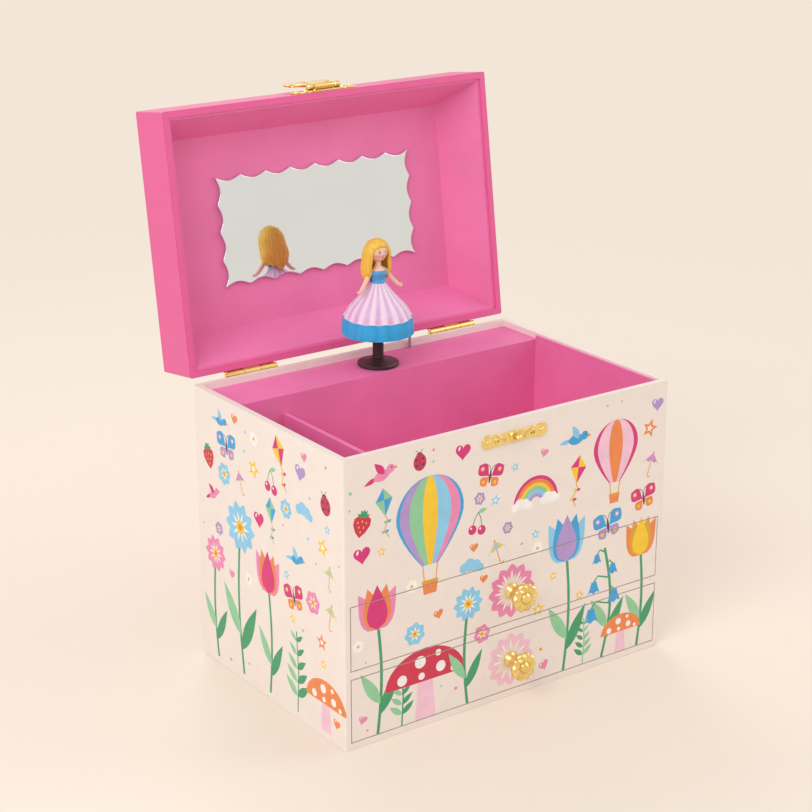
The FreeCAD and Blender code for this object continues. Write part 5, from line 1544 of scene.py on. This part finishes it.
class JEWELBOX_OT_stage(bpy.types.Operator):
    """Pale floor, soft lamps and the camera"""
    bl_idname = "jewelbox.stage"
    bl_label = "Stage"

    def execute(self, context):
        settings = context.scene.box_stage
        self.floor(settings)
        self.world(context, settings)
        self.lamps(context, settings)
        self.camera(context, settings)
        context.scene.view_settings.view_transform = "Standard"
        return {"FINISHED"}

    def floor(self, settings):
        """Wide floor that keeps the shadow near the box and fades to the plain background."""
        finish = Finish("Floor_Pale")
        cloudy = finish.noise(6, 2)
        finish.wire(finish.mottle(cloudy, settings.floor, 0.985, 1), finish.spread(cloudy, 0.55, 0.62))
        away = finish.add("ShaderNodeVectorMath", {0: finish.place}, operation="LENGTH").outputs["Value"]
        fade = finish.add("ShaderNodeMapRange", {"Value": away, "From Min": 0.22, "From Max": 0.8},
                          interpolation_type="SMOOTHSTEP").outputs["Result"]
        share = finish.add("ShaderNodeMath", {0: fade, 1: seen_directly(finish.tree)}, operation="MULTIPLY")
        plain = finish.add("ShaderNodeEmission", {"Color": (*settings.floor, 1)})
        blend = finish.add("ShaderNodeMixShader", {0: share.outputs[0], 1: finish.shader.outputs[0],
                                                   2: plain.outputs[0]})
        finish.tree.links.new(blend.outputs[0], finish.tree.nodes["Material Output"].inputs["Surface"])
        reach = 6000
        points = [(x, y, 0) for x, y in rectangle(-reach, reach, -reach, reach)]
        new_object("floor", points, [(0, 1, 2, 3)], [finish.material])

    def world(self, context, settings):
        """Even soft light, with the floor's colour as the background that is seen."""
        world = bpy.data.worlds.new("Studio")
        world.use_nodes = True
        tree = world.node_tree
        light = tree.nodes["Background"]
        light.inputs["Color"].default_value = (1.0, 0.985, 0.97, 1)
        light.inputs["Strength"].default_value = 0.66
        seen = tree.nodes.new("ShaderNodeBackground")
        seen.inputs["Color"].default_value = (*settings.floor, 1)
        pick = tree.nodes.new("ShaderNodeMixShader")
        for index, source in enumerate((seen_directly(tree), light.outputs[0], seen.outputs[0])):
            tree.links.new(source, pick.inputs[index])
        tree.links.new(pick.outputs[0], tree.nodes["World Output"].inputs["Surface"])
        context.scene.world = world

    def lamps(self, context, settings):
        """Main lamp at the left, a weaker one at the right and one behind, each with its share."""
        target = Vector((0, 0, 0.1))
        for name, place, size, share in (("lamp_main", (-0.95, -0.42, 0.85), 0.8, 1.15),
                                         ("lamp_fill", (0.95, -0.4, 0.7), 0.8, 0.5),
                                         ("lamp_back", (0.25, 0.95, 0.85), 0.7, 0.5)):
            data = bpy.data.lights.new(name, "AREA")
            data.energy = settings.lamp * share
            data.size = size
            lamp = bpy.data.objects.new(name, data)
            lamp.location = place
            lamp.rotation_euler = (target - Vector(place)).to_track_quat("-Z", "Y").to_euler()
            context.scene.collection.objects.link(lamp)

    def camera(self, context, settings):
        """Camera at its angles and distance from the point that it looks at."""
        data = bpy.data.cameras.new("camera")
        data.lens = settings.lens
        data.sensor_width = 36.0
        camera = bpy.data.objects.new("camera", data)
        turn, rise = settings.azimuth, settings.elevation
        back = Vector((sin(turn) * cos(rise), -cos(turn) * cos(rise), sin(rise)))
        camera.location = Vector(settings.aim) + back * settings.distance
        camera.rotation_euler = (-back).to_track_quat("-Z", "Y").to_euler()
        context.scene.collection.objects.link(camera)
        context.scene.camera = camera


MAKERS = (JEWELBOX_OT_case_paper, JEWELBOX_OT_drawer_papers, JEWELBOX_OT_lid_paper, JEWELBOX_OT_mirror,
          JEWELBOX_OT_clasp, JEWELBOX_OT_hinges, JEWELBOX_OT_knobs, JEWELBOX_OT_key, JEWELBOX_OT_movement,
          JEWELBOX_OT_doll_stand, JEWELBOX_OT_doll, JEWELBOX_OT_stage)
SETTINGS = {"box_papers": PaperSettings, "box_metals": MetalSettings, "box_doll": DollSettings,
            "box_stage": StageSettings}


class JEWELBOX_PT_pieces(bpy.types.Panel):
    """Lists the pieces and their settings"""
    bl_idname = "JEWELBOX_PT_pieces"
    bl_label = "Jewellery Box"
    bl_space_type = "VIEW_3D"
    bl_region_type = "UI"
    bl_category = "Jewellery Box"

    def draw(self, context):
        for maker in MAKERS:
            self.layout.operator(maker.bl_idname)
        for name, group in SETTINGS.items():
            box = self.layout.box()
            for key in group.__annotations__:
                box.prop(getattr(context.scene, name), key)


def register():
    for name, group in SETTINGS.items():
        bpy.utils.register_class(group)
        setattr(bpy.types.Scene, name, PointerProperty(type=group))
    for shown in (*MAKERS, JEWELBOX_PT_pieces):
        bpy.utils.register_class(shown)


def unregister():
    for shown in (JEWELBOX_PT_pieces, *reversed(MAKERS)):
        bpy.utils.unregister_class(shown)
    for name, group in SETTINGS.items():
        delattr(bpy.types.Scene, name)
        bpy.utils.unregister_class(group)


def main():
    register()
    for maker in MAKERS:
        group, name = maker.bl_idname.split(".")
        getattr(getattr(bpy.ops, group), name)()


if __name__ == "__main__":
    main()
